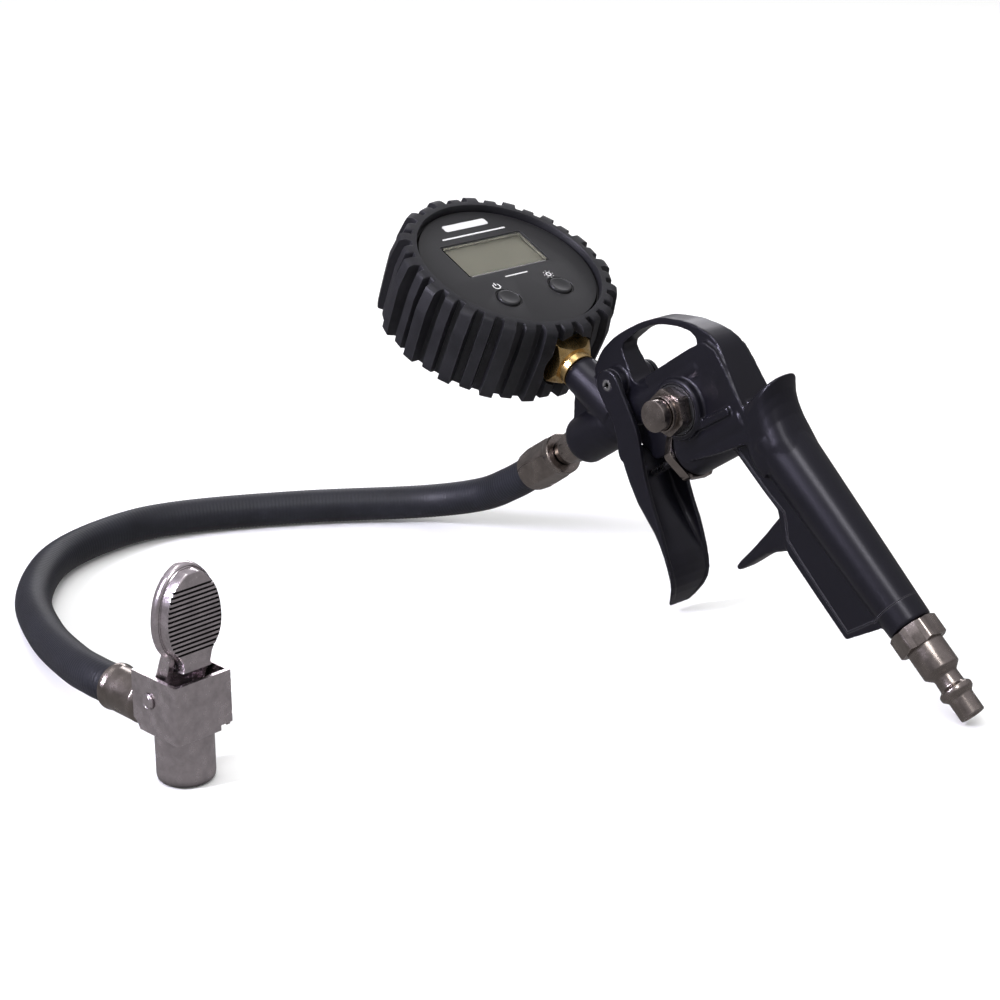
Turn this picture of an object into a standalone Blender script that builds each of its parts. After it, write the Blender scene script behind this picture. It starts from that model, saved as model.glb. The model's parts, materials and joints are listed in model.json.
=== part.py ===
"""Tyre inflator with gauge: a trigger gun, a digital gauge, a hose and a clip-on chuck.

Every length is in millimetres until in_metres scales the finished pieces. The gun is built with its barrel
along +X, forward, and +Z up; the gauge with +Z out of its face; the chuck with +Z up its barrel.
"""

import math

import bmesh
import bpy
from mathutils import Matrix, Vector

MM = 0.001
UP = (0.0, 0.0, 1.0)

# Where the three groups stand on the floor.
GUN_AT = (21.0, 0.0, 71.7)
GUN_TILT = 35.0
CHUCK_AT = (5.3, 186.4, 0.0)
CHUCK_TURN = 3.2

# Gun casting.
BARREL_Z = -9.8
BARREL_R = 7.3
HOSE_BOSS_R = 8.2
HOSE_BOSS_END = 31.5
VALVE_Z = -30.5
VALVE_R = 8.2
VALVE_FRONT = -14.0
VALVE_BACK = -46.0
CHAMBER_R = 6.0
CHAMBER_END = -43.0
AIRWAY_R = 2.0
AIRWAY_X = -24.3
BLEED_Z = -18.1
BLEED_BOSS_R = 9.8
BLEED_BOSS_Y = 10.0
LUG_R = 5.0
LUG_HALF = 7.7
PIN_HOLE_R = 1.9
HANDLE_END = (-68.4, 0.0, -107.1)
HANDLE_AXIS = (0.2607, 0.0, 0.9654)
HANDLE_LENGTH = 80.0
HANDLE_END_R = 7.0
HANDLE_TOP_R = 9.3
INLET_R = 3.5
INLET_THREAD_R = 5.2
INLET_THREAD_DEPTH = 10.4

# Gauge stem: it leaves the barrel at 60 degrees, STEM_OFFSET in front of the trigger's pin.
STEM_ANGLE = 60.0
STEM_OFFSET = 11.75
STEM_BOSS_END = 19.25
GAUGE_CENTRE = 62.7

# Trigger.
TRIGGER_HALF = 9.7
TRIGGER_SHEET = 1.6
TRIGGER_PIN_R = 1.75
TRIGGER_FRONT = (
    (3.3, 2.1), (4.9, -4.3), (4.3, -11.5), (5.6, -16.0), (7.9, -21.0), (9.3, -29.0), (10.2, -38.0),
    (9.4, -46.0), (8.9, -52.7), (8.8, -57.5), (9.4, -61.5), (10.6, -64.6), (12.5, -67.1), (15.3, -69.1),
    (18.6, -70.7), (21.2, -71.9),
)
TRIGGER_REAR = (
    (20.3, -73.2), (17.9, -72.2), (14.4, -70.5), (11.3, -68.3), (9.2, -65.4), (8.6, -61.8), (4.3, -48.8),
    (2.5, -38.0), (-0.9, -26.4), (-4.1, -17.9), (-4.4, -12.0), (-5.0, 0.0), (-4.3, 2.5), (-2.5, 4.3),
    (0.0, 5.0), (2.1, 4.2),
)

# Fits.
GAP = 0.3
SMALL = 14
ROUND = 20
FINE = 32

# Gauge.
PANEL_FACE = 11.5
PANEL_R = 31.1
CASE_R = 33.0
BOOT_FRONT = 13.5
BOOT_BACK = -15.85
LUGS = 32
LCD_WIDTH = 35.3
LCD_HEIGHT = 16.4
LCD_UP = 7.2
BUTTON_X = 11.7
BUTTON_UP = -14.4
BUTTON_R = 3.9
BATTERY_UP = 4.0
# Round one lug of the boot: how far along its share of the rim a corner is, and whether it is on the lug.
LUG_CORNERS = ((0.02, False), (0.28, False), (0.36, True), (0.94, True))
# Height of each ring of the boot's outside, its valley's radius there, and how much of a lug stands on it.
BOOT_RINGS = (
    (BOOT_FRONT, 34.9, 0.4), (BOOT_FRONT - 2.6, 36.2, 0.75), (4.5, 36.2, 1.0), (BOOT_BACK + 0.8, 36.2, 0.8),
    (BOOT_BACK, 36.2, 0.4),
)
# Radius and height of each ring of the boot's inside.
BOOT_INSIDE = (
    (24.0, BOOT_BACK), (24.0, BOOT_BACK + 1.6), (CASE_R + GAP, BOOT_BACK + 1.6), (CASE_R + GAP, 10.4),
    (32.0, 10.4), (32.0, BOOT_FRONT),
)
# How far a short lug and a tall one stand out.
LUG_TALL = (1.8, 3.1)

# Hose.
HOSE_R = 6.0
HOSE_BORE_R = 3.3
HOSE_START = 44.0
FERRULE_START = 42.7
HOSE_OUT = 60.8
CHUCK_PORT_Z = 17.5
CHUCK_HOSE_START = 15.8
CHUCK_HOSE_OUT = 30.6
HOSE_PATH = (
    (76.0, 0.2, 21.6), (91.0, 1.0, 13.6), (113.0, 10.0, 7.2), (140.0, 43.0, 6.0), (160.0, 80.0, 6.0),
    (164.0, 105.0, 6.0), (155.0, 134.0, 6.0), (130.0, 158.0, 6.3), (97.0, 173.5, 9.0), (65.0, 184.0, 13.8),
    (46.0, 188.0, 16.8),
)

# Chuck.
BARREL_TOP = 20.6
CHUCK_R = 8.2
CHUCK_BORE_R = 6.0
BRACKET_SHEET = 1.2
BRACKET_HALF_WIDTH = 9.65
BRACKET_BACK = -9.7
BRACKET_FRONT = 9.5
BRACKET_TOP = 32.5
BRACKET_CHEEK_LOW = 15.5
LEVER_PIN_X = 2.1
LEVER_PIN_Z = 25.3
HUB_R = 2.4
CAM_LIFT = 1.8


def clear_scene():
    for obj in list(bpy.data.objects):
        bpy.data.objects.remove(obj)


def make(name, points, faces):
    """A mesh object from points in millimetres, with its faces turned outwards."""
    mesh = bpy.data.meshes.new(name)
    shape = bmesh.new()
    corners = [shape.verts.new(point) for point in points]
    for face in faces:
        shape.faces.new([corners[i] for i in face])
    bmesh.ops.recalc_face_normals(shape, faces=shape.faces)
    shape.to_mesh(mesh)
    shape.free()
    obj = bpy.data.objects.new(name, mesh)
    bpy.context.scene.collection.objects.link(obj)
    return obj


def place(obj, origin, direction=(0.0, 0.0, 1.0)):
    """Puts the object's own Z along direction, at origin."""
    obj.location = origin
    if tuple(direction) != UP:
        obj.rotation_euler = Vector(direction).to_track_quat("Z", "Y").to_euler()
    return obj


def turned(name, profile, origin=(0.0, 0.0, 0.0), direction=(0.0, 0.0, 1.0), segments=SMALL):
    """A turned shape: profile is a closed loop of (radius, height), turned about direction."""
    points = []
    rings = []
    for radius, height in profile:
        if radius == 0:
            rings.append([len(points)] * segments)
            points.append((0.0, 0.0, height))
            continue
        rings.append(list(range(len(points), len(points) + segments)))
        for i in range(segments):
            angle = 2 * math.pi * i / segments
            points.append((radius * math.cos(angle), radius * math.sin(angle), height))
    faces = []
    for lower, upper in zip(rings, rings[1:] + rings[:1]):
        for i in range(segments):
            j = (i + 1) % segments
            corners = list(dict.fromkeys((lower[i], lower[j], upper[j], upper[i])))
            if len(corners) > 2:
                faces.append(corners)
    return place(make(name, points, faces), origin, direction)


def rod(name, radius, low, high, origin=(0.0, 0.0, 0.0), direction=(0.0, 0.0, 1.0), segments=SMALL):
    profile = [(0.0, low), (radius, low), (radius, high), (0.0, high)]
    return turned(name, profile, origin, direction, segments)


def tube(name, outer, inner, low, high, origin=(0.0, 0.0, 0.0), direction=(0.0, 0.0, 1.0), segments=SMALL):
    profile = [(inner, low), (outer, low), (outer, high), (inner, high)]
    return turned(name, profile, origin, direction, segments)


def plate(name, outline, half_low, half_high=None):
    """A plate across Y: outline is in X and Z, and runs from half_low to half_high, or from -half_low."""
    low, high = (-half_low, half_low) if half_high is None else (half_low, half_high)
    return tapered_plate(name, outline, lambda _: low, lambda _: high)


def tapered_plate(name, outline, low_at, high_at):
    """A plate across Y whose two sides stand where low_at and high_at of the height put them."""
    count = len(outline)
    points = [(x, low_at(z), z) for x, z in outline] + [(x, high_at(z), z) for x, z in outline]
    faces = [list(range(count)), list(range(count, 2 * count))]
    faces += [[i, (i + 1) % count, count + (i + 1) % count, count + i] for i in range(count)]
    return make(name, points, faces)


def slab(name, outline, low, high):
    """A slab along Z with its outline in X and Y."""
    count = len(outline)
    points = [(x, y, low) for x, y in outline] + [(x, y, high) for x, y in outline]
    faces = [list(range(count)), list(range(count, 2 * count))]
    faces += [[i, (i + 1) % count, count + (i + 1) % count, count + i] for i in range(count)]
    return make(name, points, faces)


def box(name, low, high):
    outline = [(low[0], low[1]), (high[0], low[1]), (high[0], high[1]), (low[0], high[1])]
    return slab(name, outline, low[2], high[2])


def rounded_rectangle(width, height, radius, centre=(0.0, 0.0), steps=4):
    """Corner points of a rectangle with rounded corners, anticlockwise."""
    outline = []
    for quarter, (side_x, side_y) in enumerate(((1, 1), (-1, 1), (-1, -1), (1, -1))):
        middle_x = centre[0] + side_x * (width / 2 - radius)
        middle_y = centre[1] + side_y * (height / 2 - radius)
        for step in range(steps + 1):
            angle = math.pi / 2 * (quarter + step / steps)
            outline.append((middle_x + radius * math.cos(angle), middle_y + radius * math.sin(angle)))
    return outline


def closed(mesh):
    """Whether every edge of the mesh has exactly two faces."""
    shape = bmesh.new()
    shape.from_mesh(mesh)
    whole = all(len(edge.link_faces) == 2 for edge in shape.edges)
    shape.free()
    return whole


def combined(base, tool, operation, solver):
    """The mesh that a Boolean of tool with base gives."""
    modifier = base.modifiers.new("combine", "BOOLEAN")
    modifier.operation = operation
    modifier.solver = solver
    modifier.object = tool
    bpy.context.view_layer.update()
    graph = bpy.context.evaluated_depsgraph_get()
    shape = bpy.data.meshes.new_from_object(base.evaluated_get(graph))
    base.modifiers.clear()
    return shape


def combine(base, tools, operation):
    """Applies a Boolean of each tool to base, and drops the tools.

    Manifold is only for what Exact leaves open.
    """
    for tool in tools:
        shape = combined(base, tool, operation, "EXACT")
        if not closed(shape):
            shape = combined(base, tool, operation, "MANIFOLD")
        base.data = shape
        bpy.data.objects.remove(tool)
    return base


def fuse(base, *tools):
    return combine(base, tools, "UNION")


def cut(base, *tools):
    return combine(base, tools, "DIFFERENCE")


def keep_common(base, tool):
    return combine(base, [tool], "INTERSECT")


def hexagon(name, across, low, high, origin, direction, turn=0.0, chamfer=0.8):
    """A hexagon along direction, with its corners turned off at both ends."""
    corner = across / math.sqrt(3)
    outline = []
    for i in range(6):
        angle = math.radians(turn + 60 * i)
        outline.append((corner * math.cos(angle), corner * math.sin(angle)))
    prism = slab(name, outline, low, high)
    blank = turned(
        name + "_blank",
        [
            (0.0, low), (corner - chamfer, low), (corner + 0.05, low + chamfer),
            (corner + 0.05, high - chamfer), (corner - chamfer, high), (0.0, high),
        ],
        segments=16,
    )
    return place(keep_common(prism, blank), origin, direction)


def coil(name, radius, wire, low, high, turns, origin=(0.0, 0.0, 0.0), direction=(0.0, 0.0, 1.0)):
    """A coil spring of round wire, its ends cut square to the wire."""
    per_turn = 12
    around = 6
    count = int(turns * per_turn) + 1
    rise = (high - low - 2 * wire) / (count - 1)
    points = []
    for i in range(count):
        angle = 2 * math.pi * i / per_turn
        outward = Vector((math.cos(angle), math.sin(angle), 0.0))
        centre = outward * radius + Vector((0.0, 0.0, low + wire + rise * i))
        for j in range(around):
            turn = 2 * math.pi * j / around
            points.append(centre + outward * wire * math.cos(turn) + Vector((0, 0, wire * math.sin(turn))))
    return place(make(name, points, tube_faces(count, around)), origin, direction)


def tube_faces(count, around):
    """Faces of a solid bar of count rings with around points each."""
    faces = [list(range(around)), list(range((count - 1) * around, count * around))]
    for i in range(count - 1):
        for j in range(around):
            k = (j + 1) % around
            faces.append([i * around + j, i * around + k, (i + 1) * around + k, (i + 1) * around + j])
    return faces


def ring_seal(name, radius, section, at, origin=(0.0, 0.0, 0.0), direction=(0.0, 0.0, 1.0)):
    """An O-ring: a round section turned about the axis."""
    profile = []
    for i in range(8):
        angle = 2 * math.pi * i / 8
        profile.append((radius + section * math.cos(angle), at + section * math.sin(angle)))
    return turned(name, profile, origin, direction)


def shade(obj, angle=30.0):
    """Shades the round faces smooth and leaves real edges sharp."""
    obj.data.shade_smooth()
    obj.data.set_sharp_from_angle(angle=math.radians(angle))


def finish(obj, color, metallic, roughness, transmission=0.0):
    """Gives the piece its own material."""
    material = bpy.data.materials.new(obj.name)
    material.use_nodes = True
    shader = material.node_tree.nodes["Principled BSDF"]
    shader.inputs["Base Color"].default_value = (*color, 1.0)
    shader.inputs["Metallic"].default_value = metallic
    shader.inputs["Roughness"].default_value = roughness
    shader.inputs["Transmission Weight"].default_value = transmission
    obj.data.materials.clear()
    obj.data.materials.append(material)
    shade(obj)
    return obj


def painted(obj):
    return finish(obj, (0.012, 0.012, 0.018), 0.3, 0.38)


def gunmetal(obj):
    return finish(obj, (0.09, 0.085, 0.10), 1.0, 0.3)


def steel(obj):
    return finish(obj, (0.55, 0.55, 0.56), 1.0, 0.3)


def brass(obj):
    return finish(obj, (0.62, 0.42, 0.16), 1.0, 0.28)


def rubber(obj):
    return finish(obj, (0.015, 0.015, 0.016), 0.0, 0.75)


def plastic(obj):
    return finish(obj, (0.03, 0.03, 0.034), 0.0, 0.5)


# ---- gun -------------------------------------------------------------------------------------------


def stem_point(along, across=STEM_OFFSET):
    """A point of the gun's middle plane, from its distance along the gauge's stem and across it."""
    angle = math.radians(STEM_ANGLE)
    x = along * math.cos(angle) + across * math.sin(angle)
    z = along * math.sin(angle) - across * math.cos(angle)
    return (x, 0.0, z)


def stem_axis():
    angle = math.radians(STEM_ANGLE)
    return (math.cos(angle), 0.0, math.sin(angle))


def loop_half_width(height):
    """The casting's draft: the hanging loop is thin at the top and thick at the barrel."""
    return 3.2 + (13.0 - height) * 0.1


def loop_plate():
    outline = (
        (9.5, 8.0), (3.0, 12.0), (-4.4, 13.6), (-11.5, 13.5), (-18.7, 12.9), (-28.0, 10.8), (-38.0, 5.0),
        (-44.5, -1.0), (-47.8, -6.0), (-48.2, -14.0), (-48.5, -23.0), (-50.8, -25.1), (-57.2, -26.3),
        (-65.3, -25.1), (-64.0, -29.5), (-61.2, -32.6), (-55.0, -38.0), (-30.0, -36.0), (-16.0, -34.0),
        (-14.3, -20.9), (-8.0, -17.4), (2.0, -14.0), (10.0, -10.0),
    )
    window = (
        (-6.5, 8.5), (-8.0, 10.2), (-16.0, 11.0), (-22.5, 10.2), (-28.5, 7.9), (-34.5, 4.5), (-38.3, 1.2),
        (-39.4, -1.5), (-38.0, -4.0), (-8.5, -4.0), (-6.5, -2.0),
    )
    body = tapered_plate("gun_body", outline, lambda z: -loop_half_width(z), loop_half_width)
    return cut(body, plate("window", window, 12.0))


def handle_tube():
    reach = HANDLE_LENGTH
    profile = [
        (0.0, 0.0), (HANDLE_END_R - 0.5, 0.0), (HANDLE_END_R, 0.5), (HANDLE_TOP_R, reach - 5.0),
        (HANDLE_TOP_R - 1.6, reach - 1.0), (HANDLE_TOP_R - 5.0, reach + 1.2), (0.0, reach + 1.8),
    ]
    return turned("handle", profile, HANDLE_END, HANDLE_AXIS, ROUND)


def handle_web():
    outline = (
        (-31.0, -26.0), (-32.7, -27.1), (-36.4, -40.0), (-40.0, -52.5), (-41.0, -58.5), (-39.5, -61.5),
        (-34.0, -63.6), (-25.0, -66.2), (-18.0, -67.8), (-14.5, -69.3), (-14.6, -70.3), (-21.0, -70.6),
        (-29.0, -69.6), (-34.0, -71.6), (-38.8, -73.0), (-42.8, -88.5), (-46.7, -103.4), (-61.0, -104.4),
        (-66.0, -104.0), (-52.0, -50.0), (-50.0, -26.0),
    )
    return plate("web", outline, 5.0)


def hose_boss():
    end = HOSE_BOSS_END
    profile = [
        (0.0, 9.0), (BARREL_R - 0.4, 9.0), (HOSE_BOSS_R, 13.0), (HOSE_BOSS_R, end - 1.2),
        (HOSE_BOSS_R - 0.4, end - 0.4), (HOSE_BOSS_R - 1.2, end), (0.0, end),
    ]
    return turned("hose_boss", profile, (0.0, 0.0, BARREL_Z), (1.0, 0.0, 0.0), ROUND)


def barrel():
    profile = [(0.0, -41.0), (5.6, -41.0), (BARREL_R, -37.0), (BARREL_R, 20.0), (0.0, 20.0)]
    return turned("barrel", profile, (0.0, 0.0, BARREL_Z), (1.0, 0.0, 0.0), ROUND)


def gauge_boss():
    profile = [(0.0, -3.0), (7.6, -3.0), (7.3, 4.0), (6.5, 18.6), (6.1, STEM_BOSS_END), (0.0, STEM_BOSS_END)]
    return turned("gauge_boss", profile, stem_point(0.0), stem_axis(), ROUND)


def boss_web():
    outline = ((9.0, -6.0), (12.0, 6.5), (18.5, 8.2), (23.5, 3.5), (28.0, -2.6), (28.0, -7.0), (12.0, -9.0))
    return plate("boss_web", outline, 3.6)


def valve_barrel():
    profile = [
        (0.0, VALVE_BACK), (VALVE_R, VALVE_BACK), (VALVE_R, VALVE_FRONT - 0.5), (VALVE_R - 0.5, VALVE_FRONT),
        (0.0, VALVE_FRONT),
    ]
    return turned("valve_barrel", profile, (0.0, 0.0, VALVE_Z), (1.0, 0.0, 0.0), ROUND)


def bleed_boss():
    profile = [
        (0.0, 0.0), (BLEED_BOSS_R, 0.0), (BLEED_BOSS_R, BLEED_BOSS_Y - 0.5),
        (BLEED_BOSS_R - 0.5, BLEED_BOSS_Y), (8.4, BLEED_BOSS_Y), (8.4, BLEED_BOSS_Y - 0.9),
        (0.0, BLEED_BOSS_Y - 0.9),
    ]
    return turned("bleed_boss", profile, (AIRWAY_X, 0.0, BLEED_Z), (0.0, 1.0, 0.0), ROUND)


def side_bar():
    """The raised bar along the handle side, where the valve barrel ends."""
    outline = ((-29.0, -24.9), (-29.0, -26.9), (-43.5, -27.2), (-43.5, -25.4))
    return plate("side_bar", outline, 8.6)


def gun_bores():
    barrel_at = (0.0, 0.0, BARREL_Z)
    valve_at = (0.0, 0.0, VALVE_Z)
    forward = (1.0, 0.0, 0.0)
    valve_meets_handle = 79.3
    return [
        rod("inlet", INLET_R, 5.0, valve_meets_handle, HANDLE_END, HANDLE_AXIS),
        rod("inlet_thread", INLET_THREAD_R, -1.0, INLET_THREAD_DEPTH, HANDLE_END, HANDLE_AXIS),
        rod("chamber", CHAMBER_R, CHAMBER_END, VALVE_FRONT + 1.0, valve_at, forward, 16),
        rod("chamber_end", INLET_R, -47.5, CHAMBER_END + 1.0, valve_at, forward),
        rod("riser", AIRWAY_R, VALVE_Z - 0.5, BARREL_Z, (AIRWAY_X, 0.0, 0.0), segments=12),
        rod("bleed_bore", 4.2, -2.0, BLEED_BOSS_Y + 1.0, (AIRWAY_X, 0.0, BLEED_Z), (0.0, 1.0, 0.0)),
        rod("airway", 2.5, AIRWAY_X - AIRWAY_R, 25.0, barrel_at, forward, 16),
        rod("nipple_thread", 4.5, 21.0, HOSE_BOSS_END + 1.0, barrel_at, forward),
        rod("stem_airway", AIRWAY_R, -4.5, 15.0, stem_point(0.0), stem_axis(), 12),
        rod("stem_thread", 4.5, 10.0, STEM_BOSS_END + 1.0, stem_point(0.0), stem_axis()),
        rod("stem_seal_seat", 5.1, 17.4, STEM_BOSS_END + 1.0, stem_point(0.0), stem_axis()),
        rod("pin_hole", PIN_HOLE_R, -12.0, 12.0, (0.0, 0.0, 0.0), (0.0, 1.0, 0.0), 16),
    ]


def gun_body():
    lug = rod("lug", LUG_R, -LUG_HALF, LUG_HALF, (0.0, 0.0, 0.0), (0.0, 1.0, 0.0), ROUND)
    body = fuse(
        loop_plate(), handle_tube(), handle_web(), barrel(), hose_boss(), gauge_boss(), boss_web(),
        valve_barrel(), bleed_boss(), side_bar(), lug,
    )
    return painted(cut(body, *gun_bores()))


def trigger_channel():
    """The hollow of the trigger's channel section, open at the back and, above the web, at the front."""
    inner = [(9.5, 8.0), (12.0, -20.5)]
    for x, z in TRIGGER_FRONT[5:13]:
        inner.append((x - TRIGGER_SHEET, z))
    inner.insert(2, (6.2, -20.5))
    inner += [(8.0, -66.5), (-12.0, -62.0), (-12.0, 8.0)]
    return plate("channel", inner, TRIGGER_HALF - TRIGGER_SHEET)


def trigger():
    """A channel of folded sheet: two flanges with ears on the pin, and a web that curls forward."""
    body = plate("trigger", TRIGGER_FRONT + TRIGGER_REAR, TRIGGER_HALF)
    half = TRIGGER_HALF
    front_view = (
        (-half, 8.0), (-half, -64.5), (-half + 0.6, -67.5), (-half + 2.2, -70.2), (-half + 4.5, -72.0),
        (-half + 6.5, -73.6), (half - 6.5, -73.6), (half - 4.5, -72.0), (half - 2.2, -70.2),
        (half - 0.6, -67.5), (half, -64.5), (half, 8.0),
    )
    count = len(front_view)
    points = [(-12.0, y, z) for y, z in front_view] + [(30.0, y, z) for y, z in front_view]
    faces = [list(range(count)), list(range(count, 2 * count))]
    faces += [[i, (i + 1) % count, count + (i + 1) % count, count + i] for i in range(count)]
    keep_common(body, make("front_view", points, faces))
    hole = rod("hole", PIN_HOLE_R, -12.0, 12.0, (0.0, 0.0, 0.0), (0.0, 1.0, 0.0), 16)
    return painted(cut(body, trigger_channel(), hole))


def trigger_pin():
    """A rolled spring pin, so it is a tube."""
    reach = TRIGGER_HALF + 0.2
    pin = tube("trigger_pin", TRIGGER_PIN_R, 0.8, -reach, reach, direction=(0.0, 1.0, 0.0), segments=16)
    return steel(pin)


def valve_cap_nut():
    """A hexagon with a long stud: the stem runs through it and the poppet closes on its inner end."""
    at = (0.0, 0.0, VALVE_Z)
    forward = (1.0, 0.0, 0.0)
    head = hexagon("valve_cap_nut", 16.0, -13.7, -11.0, at, forward, turn=6.0)
    stud = turned(
        "stud",
        [
            (0.0, -30.0), (5.4, -30.0), (5.7, -29.7), (5.7, -26.3), (4.9, -26.3), (4.9, -22.3), (5.7, -22.3),
            (5.7, -13.0), (0.0, -13.0),
        ],
        at, forward, 16,
    )
    hollow = turned(
        "hollow", [(0.0, -31.0), (3.4, -31.0), (3.4, -19.0), (1.6, -19.0), (1.6, -10.0), (0.0, -10.0)],
        at, forward, 16,
    )
    port = rod("port", 1.5, -8.0, 8.0, (AIRWAY_X, 0.0, VALVE_Z), (0.0, 1.0, 0.0), 12)
    return gunmetal(cut(fuse(head, stud), hollow, port))


def valve_stem():
    """The stem from the trigger's web to the poppet behind the seal."""
    profile = [
        (0.0, -33.9), (4.6, -33.9), (5.2, -33.4), (5.2, -32.2), (1.3, -32.2), (1.3, 5.9), (0.9, 6.7),
        (0.0, 7.0),
    ]
    return steel(turned("valve_stem", profile, (0.0, 0.0, VALVE_Z), (1.0, 0.0, 0.0), 16))


def valve_inside():
    at = (0.0, 0.0, VALVE_Z)
    forward = (1.0, 0.0, 0.0)
    rubber(tube("valve_seal", 4.9, 1.5, -31.9, -30.3, at, forward))
    rubber(ring_seal("stem_seal", 2.25, 0.75, -20.1, at, forward))
    steel(coil("valve_spring", 4.2, 0.4, CHAMBER_END + GAP, -34.2, 4.0, at, forward))


def bleeder():
    """The push button that lets air out: housing, washer, button, seal and spring."""
    at = (AIRWAY_X, 0.0, BLEED_Z)
    side = (0.0, 1.0, 0.0)
    head = hexagon("bleed_housing", 13.0, 10.4, 14.5, at, side, turn=12.0)
    neck = turned(
        "neck",
        [(0.0, 3.3), (3.6, 3.3), (3.9, 3.6), (3.9, 11.0), (5.9, 11.0), (5.9, 16.2), (5.6, 16.5), (0.0, 16.5)],
        at, side, 16,
    )
    hollow = turned(
        "hollow", [(0.0, 2.0), (1.9, 2.0), (1.9, 12.2), (5.3, 12.2), (5.3, 18.0), (0.0, 18.0)], at, side, 16,
    )
    gunmetal(cut(fuse(head, neck), hollow))
    steel(tube("bleed_washer", 8.0, 4.3, 9.4, 10.1, at, side, ROUND))
    button = [
        (0.0, 0.7), (2.8, 0.7), (3.0, 0.9), (3.0, 1.8), (1.4, 1.8), (1.4, 16.2), (4.9, 16.2), (5.05, 16.4),
        (5.05, 19.6), (4.7, 20.0), (0.0, 20.0),
    ]
    gunmetal(turned("bleed_button", button, at, side, 16))
    rubber(tube("bleed_seal", 2.9, 1.55, 2.0, 3.0, at, side, 16))
    steel(coil("bleed_spring", 3.3, 0.35, 12.5, 15.9, 2.0, at, side))


def inlet_plug():
    """The quick-connect plug screwed into the handle, with a bore through it."""
    head = hexagon("inlet_plug", 14.0, -7.0, -0.3, HANDLE_END, HANDLE_AXIS, turn=10.0)
    shape = turned(
        "shape",
        [
            (0.0, -31.6), (3.6, -31.6), (4.0, -31.2), (4.0, -25.0), (5.35, -23.6), (5.35, -22.3),
            (3.9, -21.3), (3.8, -17.5), (5.9, -15.5), (5.9, -6.0), (4.9, -5.0), (4.9, 9.0), (0.0, 9.0),
        ],
        HANDLE_END, HANDLE_AXIS, 16,
    )
    bore = rod("bore", 2.6, -33.0, 10.0, HANDLE_END, HANDLE_AXIS, 16)
    return gunmetal(cut(fuse(head, shape), bore))


def inlet_screen():
    """A thin filter disc with a ring of holes, behind the plug."""
    disc = rod("inlet_screen", 4.85, 9.4, 9.9, HANDLE_END, HANDLE_AXIS)
    frame = place(bpy.data.objects.new("frame", None), HANDLE_END, HANDLE_AXIS)
    turn = frame.rotation_euler.to_matrix()
    bpy.data.objects.remove(frame)
    holes = []
    for i in range(6):
        angle = math.radians(60 * i)
        offset = turn @ Vector((2.5 * math.cos(angle), 2.5 * math.sin(angle), 0.0))
        at = Vector(HANDLE_END) + offset
        holes.append(rod("screen_hole", 0.8, 8.0, 12.0, at, HANDLE_AXIS, 8))
    return steel(cut(disc, *holes))


def hose_nipple():
    at = (0.0, 0.0, BARREL_Z)
    forward = (1.0, 0.0, 0.0)
    head = hexagon("hose_nipple", 10.0, 31.8, 38.5, at, forward, turn=8.0)
    shape = turned(
        "shape",
        [
            (0.0, 22.0), (4.2, 22.0), (4.2, 31.0), (3.8, 32.2), (3.8, 38.0), (5.0, 38.0), (5.0, 39.6),
            (4.2, 40.0), (4.2, 42.3), (2.8, 42.6), (2.8, 59.5), (0.0, 59.5),
        ],
        at, forward, 16,
    )
    bore = rod("bore", 1.7, 21.0, 61.0, at, forward, 12)
    return gunmetal(cut(fuse(head, shape), bore))


def hose_ferrule():
    """The crimped collar: a round lip, then six flats where it is pressed on to the hose."""
    at = (0.0, 0.0, BARREL_Z)
    forward = (1.0, 0.0, 0.0)
    barrel_part = hexagon("hose_ferrule", 13.2, 44.0, HOSE_OUT, at, forward, turn=20.0, chamfer=0.6)
    rolled = [
        (0.0, FERRULE_START), (6.6, FERRULE_START), (7.0, 43.2), (7.0, 45.2), (6.0, 46.0), (0.0, 46.0),
    ]
    inside = [(0.0, 42.0), (3.2, 42.0), (3.2, 43.7), (6.25, 43.7), (6.25, 62.0), (0.0, 62.0)]
    lip = turned("lip", rolled, at, forward, 16)
    hollow = turned("hollow", inside, at, forward, 16)
    return gunmetal(cut(fuse(barrel_part, lip), hollow))


# ---- gauge -----------------------------------------------------------------------------------------


def gauge_adapter():
    """The brass fitting along -Y of the gauge: stud, square block, collar, and the stud into the gun."""
    down = (0.0, -1.0, 0.0)
    centre = GAUGE_CENTRE
    block = slab("gauge_adapter", rounded_rectangle(14.0, 14.0, 0.6, steps=1), centre - 29.3, centre - 22.4)
    blank = turned(
        "blank",
        [
            (0.0, centre - 29.3), (8.4, centre - 29.3), (10.0, centre - 28.0), (10.0, centre - 24.2),
            (7.6, centre - 22.4), (0.0, centre - 22.4),
        ],
    )
    place(keep_common(block, blank), (0.0, 0.0, 0.0), down)
    shape = turned(
        "shape",
        [
            (0.0, centre - 38.0), (4.5, centre - 38.0), (4.5, centre - 27.0), (6.2, centre - 26.0),
            (6.2, centre - 20.0), (5.8, centre - 19.6), (3.6, centre - 19.6), (3.6, centre - 17.6),
            (4.2, centre - 17.2), (4.2, centre - 11.0), (0.0, centre - 11.0),
        ],
        direction=down, segments=16,
    )
    bore = rod("bore", 1.5, centre - 39.0, centre - 10.0, direction=down, segments=12)
    return brass(cut(fuse(block, shape), bore))


def gauge_boot():
    """The rubber boot, with tread lugs round it and an opening for the adapter."""
    points = []
    for height, valley, share in BOOT_RINGS:
        for i in range(LUGS):
            for along, on_lug in LUG_CORNERS:
                radius = valley + (LUG_TALL[i % 2] * share if on_lug else 0.0)
                angle = 2 * math.pi * (i + along) / LUGS
                points.append((radius * math.cos(angle), radius * math.sin(angle), height))
    for radius, height in BOOT_INSIDE:
        for i in range(LUGS):
            angle = 2 * math.pi * i / LUGS
            points.append((radius * math.cos(angle), radius * math.sin(angle), height))
    boot = make("gauge_boot", points, boot_faces())
    return rubber(cut(boot, rod("adapter_opening", 10.4, 20.0, 45.0, direction=(0.0, -1.0, 0.0))))


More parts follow.
